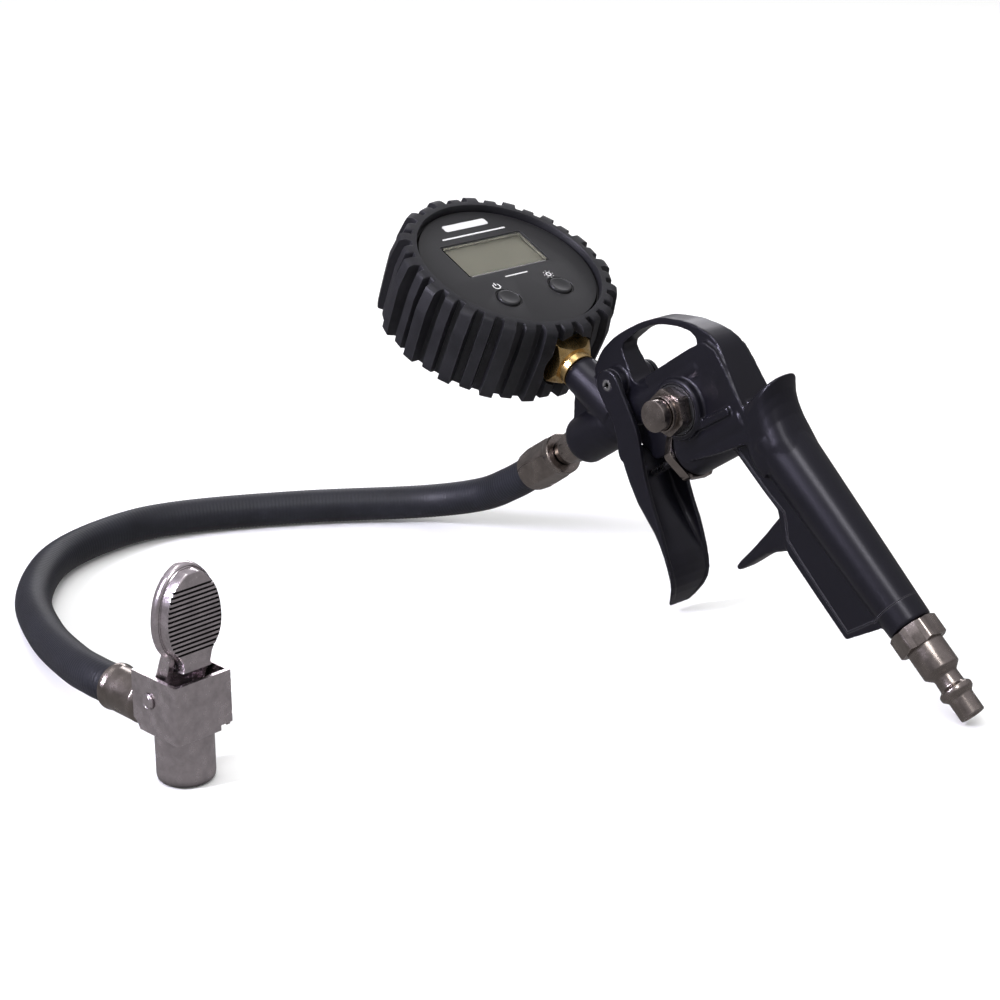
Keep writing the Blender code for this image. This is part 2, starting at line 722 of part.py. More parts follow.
def boot_faces():
    """Faces round the boot's section.

    Each outside ring has one point per lug corner, and each inside ring has one per lug.
    """
    corners = len(LUG_CORNERS)
    count = LUGS * corners
    inner = len(BOOT_RINGS) * count
    faces = []
    for ring in range(len(BOOT_RINGS) - 1):
        for i in range(count):
            j = (i + 1) % count
            faces.append([ring * count + i, ring * count + j, (ring + 1) * count + j, (ring + 1) * count + i])
    back = (len(BOOT_RINGS) - 1) * count
    last = inner + (len(BOOT_INSIDE) - 1) * LUGS
    for i in range(LUGS):
        j = (i + 1) % LUGS
        rim = [(corners * i + k) % count for k in range(corners + 1)]
        faces.append([back + k for k in rim] + [inner + j, inner + i])
        faces.append(rim + [last + j, last + i])
        for ring in range(len(BOOT_INSIDE) - 1):
            start = inner + ring * LUGS
            faces.append([start + i, start + j, start + LUGS + j, start + LUGS + i])
    return faces


def screw_places():
    """Centres of the battery cover's three screws."""
    places = []
    for i in range(3):
        angle = math.radians(90 + 120 * i)
        places.append((14.4 * math.cos(angle), BATTERY_UP + 14.4 * math.sin(angle), 0.0))
    return places


def gauge_case():
    """A cup behind the panel, with a door opening and three screw bosses in its floor."""
    cup = turned(
        "gauge_case",
        [
            (0.0, -13.5), (CASE_R - 0.6, -13.5), (CASE_R, -12.9), (CASE_R, 10.0), (31.5, 10.0), (31.5, -11.5),
            (0.0, -11.5),
        ],
        segments=FINE,
    )
    bosses = [rod("screw_boss", 2.5, -12.0, -7.0, at, segments=12) for at in screw_places()]
    fuse(cup, *bosses)
    pilots = [rod("pilot", 1.15, -15.0, -7.6, at, segments=10) for at in screw_places()]
    door = turned(
        "door", [(0.0, -15.0), (17.3, -15.0), (17.3, -12.6), (11.4, -12.6), (11.4, -10.0), (0.0, -10.0)],
        (0.0, BATTERY_UP, 0.0), segments=16,
    )
    stem_hole = rod("stem_hole", 4.9, 28.0, 36.0, direction=(0.0, -1.0, 0.0))
    return plastic(cut(cup, *pilots, door, stem_hole))


def gauge_face_panel():
    panel = turned(
        "gauge_face_panel",
        [
            (0.0, 9.0), (PANEL_R, 9.0), (PANEL_R, PANEL_FACE - 0.3), (PANEL_R - 0.3, PANEL_FACE),
            (0.0, PANEL_FACE),
        ],
        segments=FINE,
    )
    window = slab("window", rounded_rectangle(LCD_WIDTH, LCD_HEIGHT, 0.8, (0.0, LCD_UP), 2), 8.0, 13.0)
    holes = [
        rod("button_hole", BUTTON_R + GAP, 8.0, 13.0, (x, BUTTON_UP, 0.0)) for x in (-BUTTON_X, BUTTON_X)
    ]
    return plastic(cut(panel, window, *holes))


def lcd():
    width = LCD_WIDTH - 2 * GAP
    height = LCD_HEIGHT - 2 * GAP
    lens = slab("lcd_lens", rounded_rectangle(width, height, 0.6, (0.0, LCD_UP), 2), 9.3, PANEL_FACE - 0.1)
    finish(lens, (0.8, 0.82, 0.78), 0.0, 0.05, 0.9)
    module = slab("lcd_module", rounded_rectangle(40.0, 21.0, 0.6, (0.0, LCD_UP), 1), 4.0, 8.7)
    finish(module, (0.32, 0.31, 0.24), 0.0, 0.4)


def gauge_button(name, x):
    profile = [
        (0.0, 4.8), (1.5, 4.8), (1.5, 7.4), (4.9, 7.4), (4.9, 8.6), (BUTTON_R, 8.6), (BUTTON_R, 11.8),
        (BUTTON_R - 0.5, 12.4), (BUTTON_R - 1.6, 12.7), (0.0, 12.8),
    ]
    return rubber(turned(name, profile, (x, BUTTON_UP, 0.0), segments=16))


def gauge_electronics():
    board = rod("circuit_board", 28.0, 2.0, 3.6, segments=32)
    notch = box("notch", (-7.6, -30.0, 0.0), (7.6, -13.8, 6.0))
    finish(cut(board, notch), (0.02, 0.12, 0.05), 0.0, 0.45)
    sensor = turned(
        "pressure_sensor",
        [(0.0, 14.5), (5.0, 14.5), (5.0, 17.5), (6.4, 17.9), (6.4, 24.2), (0.0, 24.2)],
        direction=(0.0, -1.0, 0.0),
    )
    steel(sensor)
    cell = turned(
        "battery",
        [(0.0, -10.2), (9.6, -10.2), (10.0, -9.8), (10.0, -7.4), (8.8, -7.0), (0.0, -7.0)],
        (0.0, BATTERY_UP, 0.0),
    )
    steel(cell)


def battery_cover():
    cover = turned(
        "battery_cover",
        [(0.0, -14.5), (16.5, -14.5), (16.9, -14.1), (16.9, -12.9), (0.0, -12.9)],
        (0.0, BATTERY_UP, 0.0), segments=32,
    )
    holes = [rod("screw_hole", 1.2, -16.0, -11.0, at, segments=10) for at in screw_places()]
    slot = box("coin_slot", (-4.5, BATTERY_UP - 0.8, -16.0), (4.5, BATTERY_UP + 0.8, -14.0))
    return plastic(cut(cover, *holes, slot))


def cover_screw(name, at):
    """A pan-head screw with a cross slot."""
    screw = turned(
        name,
        [(0.0, -15.6), (1.4, -15.6), (1.8, -15.2), (1.8, -14.8), (0.85, -14.8), (0.85, -8.4), (0.0, -8.0)],
        at, segments=12,
    )
    x, y, _ = at
    across = box("slot_a", (x - 1.1, y - 0.2, -16.0), (x + 1.1, y + 0.2, -15.2))
    along = box("slot_b", (x - 0.2, y - 1.1, -16.0), (x + 0.2, y + 1.1, -15.2))
    return steel(cut(screw, across, along))


# ---- hose ------------------------------------------------------------------------------------------


def gun_to_world(point):
    return Matrix.Rotation(math.radians(GUN_TILT), 4, "Y") @ Vector(point) + Vector(GUN_AT)


def chuck_to_world(point):
    return Matrix.Rotation(math.radians(CHUCK_TURN), 4, "Z") @ Vector(point) + Vector(CHUCK_AT)


def smooth_path(points, spacing):
    """Points at an even spacing along a Catmull-Rom curve through the given ones."""
    ends = [points[0] * 2 - points[1], *points, points[-1] * 2 - points[-2]]
    fine = []
    for before, start, stop, after in zip(ends, ends[1:], ends[2:], ends[3:]):
        for i in range(24):
            t = i / 24
            fine.append(
                0.5 * (2 * start + (stop - before) * t + (2 * before - 5 * start + 4 * stop - after) * t ** 2
                       + (3 * start - before - 3 * stop + after) * t ** 3)
            )
    fine.append(points[-1])
    length = sum((b - a).length for a, b in zip(fine, fine[1:]))
    steps = round(length / spacing)
    even = [fine[0]]
    walked = 0.0
    for a, b in zip(fine, fine[1:]):
        step = (b - a).length
        while len(even) < steps and walked + step >= length * len(even) / steps:
            even.append(a.lerp(b, (length * len(even) / steps - walked) / step))
        walked += step
    even.append(fine[-1])
    return even


def hose():
    """A hose with a bore, from inside the gun's ferrule round to inside the chuck's."""
    path = [gun_to_world((x, 0.0, BARREL_Z)) for x in (HOSE_START, 52.0, HOSE_OUT)]
    path += [Vector(point) for point in HOSE_PATH]
    path += [chuck_to_world((x, 0.0, CHUCK_PORT_Z)) for x in (CHUCK_HOSE_OUT, 23.0, CHUCK_HOSE_START)]
    centres = smooth_path(path, 10.0)
    outer, inner = 12, 8
    points = []
    side = Vector((0.0, 1.0, 0.0))
    rings = []
    for i, centre in enumerate(centres):
        ahead = (centres[min(i + 1, len(centres) - 1)] - centres[max(i - 1, 0)]).normalized()
        side = (side - ahead * side.dot(ahead)).normalized()
        up = ahead.cross(side)
        rings.append((centre, side, up))
    for radius, around in ((HOSE_R, outer), (HOSE_BORE_R, inner)):
        for centre, right, up in rings:
            for j in range(around):
                angle = 2 * math.pi * j / around
                points.append(centre + (right * math.cos(angle) + up * math.sin(angle)) * radius)
    faces = hose_faces(len(rings), outer, inner)
    return rubber(make("hose", points, faces))


def hose_faces(count, outer, inner):
    """Outer and inner walls of the hose, and the two flat ends between them."""
    faces = []
    for start, around in ((0, outer), (count * outer, inner)):
        for i in range(count - 1):
            for j in range(around):
                k = (j + 1) % around
                a, b = start + i * around, start + (i + 1) * around
                faces.append([a + j, a + k, b + k, b + j])
    for ring in (0, count - 1):
        a, b = ring * outer, count * outer + ring * inner
        for j in range(outer):
            k = (j + 1) % outer
            near, far = j * inner // outer, (j + 1) * inner // outer % inner
            corners = [a + j, a + k, b + far, b + near] if near != far else [a + j, a + k, b + near]
            faces.append(corners)
    return faces


# ---- chuck -----------------------------------------------------------------------------------------


def chuck_body():
    """The barrel that goes over the tyre valve, with the hose's port near its top."""
    barrel_part = turned(
        "chuck_body",
        [
            (0.0, 0.0), (7.2, 0.0), (7.9, 0.4), (CHUCK_R, 1.2), (CHUCK_R, BARREL_TOP - 0.5),
            (CHUCK_R - 0.5, BARREL_TOP), (0.0, BARREL_TOP),
        ],
        segments=ROUND,
    )
    port_at = (0.0, 0.0, CHUCK_PORT_Z)
    forward = (1.0, 0.0, 0.0)
    fuse(barrel_part, rod("port_boss", 4.6, 6.4, 11.0, port_at, forward))
    return gunmetal(cut(
        barrel_part,
        rod("chamber", CHUCK_BORE_R, -1.0, 18.6, segments=16),
        rod("rod_hole", 2.3, 17.0, 23.0, segments=16),
        rod("port", 1.7, 3.0, 9.0, port_at, forward, 12),
        rod("port_thread", 3.4, 7.0, 12.0, port_at, forward),
    ))


def chuck_bracket():
    """A square stirrup of sheet round the barrel's top, open towards the hose."""
    half = BRACKET_HALF_WIDTH
    sheet = BRACKET_SHEET
    outer = [
        (BRACKET_BACK, 1.6 - half), (BRACKET_BACK + 0.5, 0.5 - half), (BRACKET_BACK + 1.6, -half),
        (BRACKET_FRONT, -half),
    ]
    outer += [(x, -y) for x, y in reversed(outer)]
    body = slab("chuck_bracket", outer, BRACKET_CHEEK_LOW, BRACKET_TOP)
    hollow_low = box("hollow_low", (BRACKET_BACK + sheet, sheet - half, 10.0), (20.0, half - sheet, 20.9))
    hollow_high = box("hollow_high", (BRACKET_BACK + sheet, sheet - half, 22.1), (20.0, half - sheet, 40.0))
    ledge_end = box("ledge_end", (6.2, sheet - half, 15.0), (20.0, half - sheet, 30.0))
    back_low = box("back_low", (-12.0, -7.0, 10.0), (-8.0, 7.0, 17.0))
    ledge_hole = rod("ledge_hole", 5.5, 15.0, 24.0, segments=16)
    pin_hole = rod("pin_hole", 1.25, -12.0, 12.0, (LEVER_PIN_X, 0.0, LEVER_PIN_Z), (0.0, 1.0, 0.0), 12)
    return gunmetal(cut(body, hollow_low, hollow_high, ledge_end, back_low, ledge_hole, pin_hole))


def lever_pin():
    half = BRACKET_HALF_WIDTH
    profile = [
        (0.0, -half - 0.3), (0.95, -half - 0.3), (0.95, half + GAP), (1.9, half + GAP), (1.9, half + 0.9),
        (1.4, half + 1.3), (0.0, half + 1.3),
    ]
    return steel(turned("chuck_lever_pin", profile, (LEVER_PIN_X, 0.0, LEVER_PIN_Z), (0.0, 1.0, 0.0), 14))


def cam_outline():
    """The lever's cam about its pin, in X and Z: it grows evenly from straight down to straight forward."""
    outline = []
    for degrees in range(0, 91, 10):
        radius = HUB_R + CAM_LIFT * degrees / 90
        angle = math.radians(degrees)
        outline.append((radius * math.sin(angle), -radius * math.cos(angle)))
    outline += [(4.1, 1.0), (3.2, 2.4), (1.6, 3.0), (-0.6, 2.6), (-2.2, 1.2), (-2.4, -0.4), (-1.5, -1.9)]
    return outline


def lever_cap_outline():
    """Half widths of the cap at heights above the pin, from its lower edge to its top."""
    return (
        (11.5, 5.3), (13.0, 7.0), (15.5, 8.8), (19.0, 10.1), (23.5, 10.6), (28.0, 10.2), (32.0, 9.1),
        (35.5, 7.3), (38.2, 5.0), (39.7, 2.4),
    )


def lever_cap():
    """The oval cap: a dished panel with a rim, grooved across its outer side."""
    rows = lever_cap_outline()
    outline = [(width, height) for height, width in rows]
    outline += [(-width, height) for height, width in reversed(rows)]
    front = -9.5
    back = -3.5
    count = len(outline)
    bevel = 0.9
    middle = 25.5
    points = []
    for x, shrink in ((front, bevel), (front + bevel, 0.0), (back, 0.0)):
        for y, z in outline:
            scale = 1 - shrink / 12.0
            points.append((x, y * scale, middle + (z - middle) * scale))
    faces = [list(range(count)), list(range(2 * count, 3 * count))]
    for ring in range(2):
        for i in range(count):
            j = (i + 1) % count
            faces.append([ring * count + i, ring * count + j, (ring + 1) * count + j, (ring + 1) * count + i])
    cap = make("chuck_lever", points, faces)
    hollow = [(-7.6, y * 0.85, middle + (z - middle) * 0.88) for y, z in outline]
    hollow += [(back + 1.0, y * 0.88, middle + (z - middle) * 0.92) for y, z in outline]
    hollow_faces = [list(range(count)), list(range(count, 2 * count))]
    hollow_faces += [[i, (i + 1) % count, count + (i + 1) % count, count + i] for i in range(count)]
    return cut(cap, make("dish", hollow, hollow_faces))


def lever_grooves():
    """One comb-shaped cutter for the fifteen grooves across the panel."""
    grooves = []
    for i in range(15):
        low = 14.6 + 1.42 * i
        grooves += [(-9.0, low), (-9.0, low + 0.6), (-12.0, low + 0.6), (-12.0, low + 1.1)]
    outline = [(-12.5, 14.0)] + [(x, z) for x, z in grooves] + [(-12.5, 37.0)]
    return plate("grooves", outline, 12.0)


def chuck_lever():
    """The lever about its pin: cap, two arms, hub and cam."""
    cap = lever_cap()
    cut(cap, lever_grooves())
    arm = (
        (-2.4, -0.5), (-1.8, -1.6), (0.0, -2.4), (1.8, -1.6), (2.4, 0.0), (1.6, 2.6), (-1.5, 9.0),
        (-2.9, 13.0), (-2.9, 22.0), (-6.0, 24.0), (-8.2, 16.0), (-8.2, 12.2), (-5.5, 8.0),
    )
    left = plate("left_arm", arm, 5.5, 7.3)
    right = plate("right_arm", arm, -7.3, -5.5)
    hub = rod("hub", HUB_R, -6.5, 6.5, (0.0, 0.0, 0.0), (0.0, 1.0, 0.0), 18)
    cam = plate("cam", cam_outline(), 2.3)
    lever = fuse(cap, left, right, hub, cam)
    cut(lever, rod("hole", 1.25, -12.0, 12.0, (0.0, 0.0, 0.0), (0.0, 1.0, 0.0), 12))
    place(lever, (LEVER_PIN_X, 0.0, LEVER_PIN_Z))
    return gunmetal(lever)


def chuck_inside():
    mouth = [(4.3, 0.4), (5.4, 0.4), (5.7, 0.7), (5.7, 3.0), (4.3, 3.0)]
    steel(turned("chuck_mouth_ring", mouth, segments=16))
    rubber(tube("chuck_seal", 5.65, 3.7, 3.3, 8.3, segments=20))
    shape = [
        (0.0, 8.6), (5.3, 8.6), (5.6, 8.9), (5.6, 11.0), (2.0, 11.0), (2.0, 22.2), (1.6, 22.6), (0.0, 22.6),
    ]
    plunger = turned("chuck_plunger", shape)
    vents = []
    for i in range(3):
        angle = math.radians(120 * i)
        place_of_vent = (3.1 * math.cos(angle), 3.1 * math.sin(angle), 0.0)
        vents.append(rod("vent", 0.8, 7.0, 13.0, place_of_vent, segments=8))
    pin_bore = rod("pin_bore", 1.2, 7.0, 12.0, segments=12)
    steel(cut(plunger, *vents, pin_bore))
    core = [(0.0, 5.2), (0.7, 5.2), (0.95, 5.5), (0.95, 11.7), (0.0, 11.7)]
    steel(turned("chuck_core_pin", core, segments=12))


def chuck_hose_end():
    at = (0.0, 0.0, CHUCK_PORT_Z)
    forward = (1.0, 0.0, 0.0)
    head = hexagon("chuck_nipple", 10.0, 11.4, 14.4, at, forward, turn=14.0, chamfer=0.5)
    shape = turned(
        "shape",
        [
            (0.0, 7.4), (3.1, 7.4), (3.1, 11.0), (3.6, 12.0), (3.6, 14.5), (2.8, 14.8), (2.8, 29.5),
            (0.0, 29.5),
        ],
        at, forward,
    )
    bore = rod("bore", 1.6, 6.0, 31.0, at, forward, 12)
    gunmetal(cut(fuse(head, shape), bore))
    collar = turned(
        "chuck_ferrule",
        [
            (3.2, 15.0), (6.4, 15.0), (6.9, 15.5), (6.9, 17.2), (6.6, 17.6), (6.6, 29.0), (6.9, 29.4),
            (6.9, 30.3), (6.6, CHUCK_HOSE_OUT), (6.25, CHUCK_HOSE_OUT), (6.25, 15.5), (3.2, 15.5),
        ],
        at, forward, 16,
    )
    gunmetal(collar)


# ---- assembly --------------------------------------------------------------------------------------


def since(before):
    """The pieces made since the set before was taken."""
    return [obj for obj in bpy.data.objects if obj not in before]


def group(name, pieces, matrix, parent):
    """An empty that holds the pieces, placed by matrix."""
    frame = bpy.data.objects.new(name, None)
    bpy.context.scene.collection.objects.link(frame)
    frame.matrix_basis = matrix
    frame.parent = parent
    for piece in pieces:
        piece.parent = frame
    return frame


def build_gun():
    gun_body()
    trigger()
    trigger_pin()
    valve_cap_nut()
    valve_stem()
    valve_inside()
    bleeder()
    inlet_plug()
    inlet_screen()
    hose_nipple()
    hose_ferrule()
    rubber(ring_seal("gauge_seal", 4.35, 0.55, 18.45, stem_point(0.0), stem_axis()))


def build_gauge():
    gauge_adapter()
    gauge_boot()
    gauge_case()
    gauge_face_panel()
    lcd()
    gauge_button("left_gauge_button", -BUTTON_X)
    gauge_button("right_gauge_button", BUTTON_X)
    gauge_electronics()
    battery_cover()
    for i, at in enumerate(screw_places(), 1):
        cover_screw(f"cover_screw_{i}", at)


def build_chuck():
    chuck_body()
    chuck_bracket()
    chuck_lever()
    lever_pin()
    chuck_inside()
    chuck_hose_end()


def gauge_matrix():
    """The gauge's frame in the gun's: Y along the stem, Z out of the face."""
    up = Vector(stem_axis())
    right = Vector((0.0, -1.0, 0.0))
    turn = Matrix((right, up, right.cross(up))).transposed().to_4x4()
    return Matrix.Translation(stem_point(GAUGE_CENTRE)) @ turn


def in_metres():
    """Scales the finished pieces and their places from millimetres."""
    for obj in bpy.data.objects:
        obj.location *= MM
        if obj.type == "MESH":
            obj.data.transform(Matrix.Scale(MM, 4))


def centre_on_floor(root):
    """Moves the whole to stand centred on the origin, with its lowest point at height zero."""
    bpy.context.view_layer.update()
    corners = []
    for obj in bpy.data.objects:
        if obj.type == "MESH":
            corners += [obj.matrix_world @ vertex.co for vertex in obj.data.vertices]
    low = Vector([min(corner[i] for corner in corners) for i in range(3)])
    high = Vector([max(corner[i] for corner in corners) for i in range(3)])
    root.location = (-(low.x + high.x) / 2, -(low.y + high.y) / 2, -low.z)
    bpy.context.view_layer.update()


def main():
    clear_scene()
    root = group("inflator", [], Matrix(), None)
    before = set(bpy.data.objects)
    build_gauge()
    gauge_pieces = since(before)
    before = set(bpy.data.objects)
    build_gun()
    gun_pieces = since(before)
    tilt = Matrix.Rotation(math.radians(GUN_TILT), 4, "Y")
    gun = group("gun", gun_pieces, Matrix.Translation(GUN_AT) @ tilt, root)
    group("gauge", gauge_pieces, gauge_matrix(), gun)
    before = set(bpy.data.objects)
    build_chuck()
    turn = Matrix.Rotation(math.radians(CHUCK_TURN), 4, "Z")
    group("chuck", since(before), Matrix.Translation(CHUCK_AT) @ turn, root)
    hose().parent = root
    in_metres()
    centre_on_floor(root)


main()
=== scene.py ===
import json
import math

import bmesh
import bpy
import numpy as np
from mathutils import Matrix, Vector


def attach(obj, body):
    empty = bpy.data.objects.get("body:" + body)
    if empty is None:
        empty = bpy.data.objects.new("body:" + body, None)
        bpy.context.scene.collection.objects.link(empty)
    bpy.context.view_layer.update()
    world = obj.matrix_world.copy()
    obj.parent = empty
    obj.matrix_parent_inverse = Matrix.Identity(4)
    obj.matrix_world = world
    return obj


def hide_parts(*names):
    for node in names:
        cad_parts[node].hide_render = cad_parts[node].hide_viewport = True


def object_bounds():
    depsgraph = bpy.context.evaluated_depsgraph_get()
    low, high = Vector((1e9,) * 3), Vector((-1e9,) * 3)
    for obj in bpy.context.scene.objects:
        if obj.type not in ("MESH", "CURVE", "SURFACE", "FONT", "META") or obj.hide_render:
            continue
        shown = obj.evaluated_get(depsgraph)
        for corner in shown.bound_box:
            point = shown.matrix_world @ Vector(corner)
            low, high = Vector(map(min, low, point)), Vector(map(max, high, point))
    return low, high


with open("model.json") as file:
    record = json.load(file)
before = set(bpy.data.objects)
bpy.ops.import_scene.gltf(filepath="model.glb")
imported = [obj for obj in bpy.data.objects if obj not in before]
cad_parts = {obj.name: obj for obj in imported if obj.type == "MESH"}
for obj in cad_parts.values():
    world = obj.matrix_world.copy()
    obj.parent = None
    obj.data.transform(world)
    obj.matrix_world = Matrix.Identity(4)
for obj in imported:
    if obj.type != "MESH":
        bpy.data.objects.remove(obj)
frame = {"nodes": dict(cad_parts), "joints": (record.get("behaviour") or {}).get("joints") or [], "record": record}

CAD_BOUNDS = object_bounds()
MM = 0.001
JOINTS = {joint["name"]: joint for joint in frame["joints"]}

# Frames of the gun, the chuck and the floor, in millimetres, from the places of two hinges.
GUN_TILT = 35.0
PIN = Vector(JOINTS["trigger_pivot"]["pos_m"])
GUN = Matrix.Translation(PIN) @ Matrix.Rotation(math.radians(GUN_TILT), 4, "Y") @ Matrix.Scale(MM, 4)
CHUCK_TURN = 3.2
LEVER_PIN = (2.1, 0.0, 25.3)
CHUCK = (
    Matrix.Translation(JOINTS["chuck_lever_pivot"]["pos_m"])
    @ Matrix.Rotation(math.radians(CHUCK_TURN), 4, "Z")
    @ Matrix.Scale(MM, 4)
    @ Matrix.Translation(-Vector(LEVER_PIN))
)
FLOOR_FRAME = Matrix.Translation(PIN - Vector((21.0, 0.0, 71.7)) * MM) @ Matrix.Scale(MM, 4)

HERE = (0.0, 0.0, 0.0)
FORWARD = (1.0, 0.0, 0.0)
SIDE = (0.0, 1.0, 0.0)
UP = (0.0, 0.0, 1.0)

# The gun's frame has the trigger pin at its origin and the barrel along X.
BARREL = (0.0, 0.0, -9.8)
VALVE = (0.0, 0.0, -30.5)
BLEED = (-24.3, 0.0, -18.1)
HANDLE_END = (-68.4, 0.0, -107.1)
HANDLE_AXIS = (0.2607, 0.0, 0.9654)

# The gauge's stem leans back 30 degrees from the gun's Z and passes the pin at this distance.
SIN_30 = 0.5
COS_30 = 0.866025
STEM_AXIS = (SIN_30, 0.0, COS_30)
STEM_OFFSET = 11.75
GAUGE_CENTRE = 62.7


def stem_point(height):
    """The point of the stem's axis at a height along it."""
    return Vector((SIN_30 * height + COS_30 * STEM_OFFSET, 0.0, COS_30 * height - SIN_30 * STEM_OFFSET))


# The gauge's frame has its face along Z, and its stem comes in from this side.
TO_STEM = (0.0, -1.0, 0.0)
GAUGE = GUN @ Matrix.Translation(stem_point(GAUGE_CENTRE)) @ Matrix(
    ((0.0, SIN_30, -COS_30, 0.0), (-1.0, 0.0, 0.0, 0.0), (0.0, COS_30, SIN_30, 0.0), (0.0, 0.0, 0.0, 1.0))
)
KEY_X = 11.7
KEY_Y = -14.4
WINDOW_Y = 7.2
COVER_CENTRE = (0.0, 4.0, 0.0)

# The chuck's frame has the mouth's centre at its origin; the hose leaves along X at this height.
PORT = (0.0, 0.0, 17.5)


# ---- shapes ----------------------------------------------------------------------------------------


def mesh_from(points, faces):
    """A mesh with its faces turned outwards."""
    shape = bmesh.new()
    corners = [shape.verts.new(point) for point in points]
    for face in faces:
        shape.faces.new([corners[i] for i in face])
    bmesh.ops.recalc_face_normals(shape, faces=shape.faces)
    mesh = bpy.data.meshes.new("shape")
    shape.to_mesh(mesh)
    shape.free()
    return mesh


def along(direction):
    """The turn that takes a shape's own Z to direction, and leaves a shape that points up alone."""
    if tuple(direction) == UP:
        return Matrix.Identity(4)
    return Vector(direction).to_track_quat("Z", "Y").to_matrix().to_4x4()


def solid(points, faces, origin=HERE, direction=UP):
    """An object in the current frame's millimetres, with its own Z along direction."""
    mesh = mesh_from(points, faces)
    mesh.transform(Matrix.Translation(origin) @ along(direction))
    obj = bpy.data.objects.new("shape", mesh)
    bpy.context.scene.collection.objects.link(obj)
    return obj


def skinned(rings, origin=HERE, direction=UP, looped=False):
    """A skin over rings of equal length; it runs back to its start, or gets a face over each end."""
    around = len(rings[0])
    count = len(rings)
    faces = [] if looped else [list(range(around)), list(range((count - 1) * around, count * around))]
    for ring in range(count if looped else count - 1):
        a = ring * around
        b = (ring + 1) % count * around
        for i in range(around):
            j = (i + 1) % around
            faces.append([a + i, a + j, b + j, b + i])
    return solid([point for ring in rings for point in ring], faces, origin, direction)


def circle(radius, height, count, start=0.0):
    """Points round a circle about Z, the first of them at the start angle."""
    angles = [2 * math.pi * i / count + start for i in range(count)]
    return [(radius * math.cos(angle), radius * math.sin(angle), height) for angle in angles]


def signed_power(value, power):
    return math.copysign(abs(value) ** power, value)


def rounded(profile, fillet):
    """The profile with each corner off the axis replaced by a short arc."""
    result = []
    count = len(profile)
    for i, (r, z) in enumerate(profile):
        here = Vector((r, z))
        before = Vector(profile[i - 1])
        after = Vector(profile[(i + 1) % count])
        back = before - here
        ahead = after - here
        if r < 1e-6 or back.length < 1e-6 or ahead.length < 1e-6:
            result.append((r, z))
            continue
        reach = min(fillet, 0.42 * back.length, 0.42 * ahead.length)
        start = here + back.normalized() * reach
        stop = here + ahead.normalized() * reach
        for t in (0.0, 0.33, 0.67, 1.0):
            point = start * (1 - t) ** 2 + here * 2 * t * (1 - t) + stop * t ** 2
            result.append((point.x, point.y))
    return result


def turned(profile, origin=HERE, direction=UP, segments=64, fillet=0.25):
    """A turned solid from a closed loop of (radius, height)."""
    points = []
    rings = []
    for radius, height in rounded(profile, fillet) if fillet else profile:
        if radius < 1e-6:
            rings.append([len(points)] * segments)
            points.append((0.0, 0.0, height))
            continue
        rings.append(list(range(len(points), len(points) + segments)))
        for i in range(segments):
            angle = 2 * math.pi * i / segments
            points.append((radius * math.cos(angle), radius * math.sin(angle), height))
    faces = []
    for lower, upper in zip(rings, rings[1:] + rings[:1]):
        for i in range(segments):
            j = (i + 1) % segments
            corners = list(dict.fromkeys((lower[i], lower[j], upper[j], upper[i])))
            if len(corners) > 2:
                faces.append(corners)
    return solid(points, faces, origin, direction)


def rod(radius, low, high, origin=HERE, direction=UP, segments=64):
    return turned([(0, low), (radius, low), (radius, high), (0, high)], origin, direction, segments, 0)


def prism(outline, low, high, to_point):
    """A prism of an outline between two heights; to_point says where (a, b, height) lies."""
    return skinned([[to_point(a, b, height) for a, b in outline] for height in (low, high)])


def plate(outline, low, high):
    """A plate across Y, with its outline in X and Z."""
    return prism(outline, low, high, lambda a, b, height: (a, height, b))


def slab(outline, low, high):
    """A slab along Z, with its outline in X and Y."""
    return prism(outline, low, high, lambda a, b, height: (a, b, height))


def box(low, high):
    outline = [(low[0], low[1]), (high[0], low[1]), (high[0], high[1]), (low[0], high[1])]
    return slab(outline, low[2], high[2])


def curve_through(points, steps=6, closed=True):
    """A smooth Catmull-Rom line through 2-D or 3-D points."""
    points = [Vector(point) for point in points]
    count = len(points)
    result = []
    spans = count if closed else count - 1
    for i in range(spans):
        if closed:
            p0, p1, p2, p3 = (points[(i + k) % count] for k in (-1, 0, 1, 2))
        else:
            p1, p2 = points[i], points[i + 1]
            p0 = points[i - 1] if i else p1 * 2 - p2
            p3 = points[i + 2] if i + 2 < count else p2 * 2 - p1
        for step in range(steps):
            t = step / steps
            result.append(
                0.5 * (2 * p1 + (p2 - p0) * t + (2 * p0 - 5 * p1 + 4 * p2 - p3) * t ** 2
                       + (3 * p1 - p0 - 3 * p2 + p3) * t ** 3)
            )
    if not closed:
        result.append(points[-1])
    return result


def soften(outline, reach=1.0, steps=4):
    """The outline with its corners rounded off."""
    result = []
    count = len(outline)
    for i, point in enumerate(outline):
        here = Vector(point)
        back = Vector(outline[i - 1]) - here
        ahead = Vector(outline[(i + 1) % count]) - here
        distance = min(reach, 0.45 * back.length, 0.45 * ahead.length)
        start = here + back.normalized() * distance
        stop = here + ahead.normalized() * distance
        for step in range(steps + 1):
            t = step / steps
            corner = start * (1 - t) ** 2 + here * 2 * t * (1 - t) + stop * t ** 2
            result.append((corner.x, corner.y))
    return result


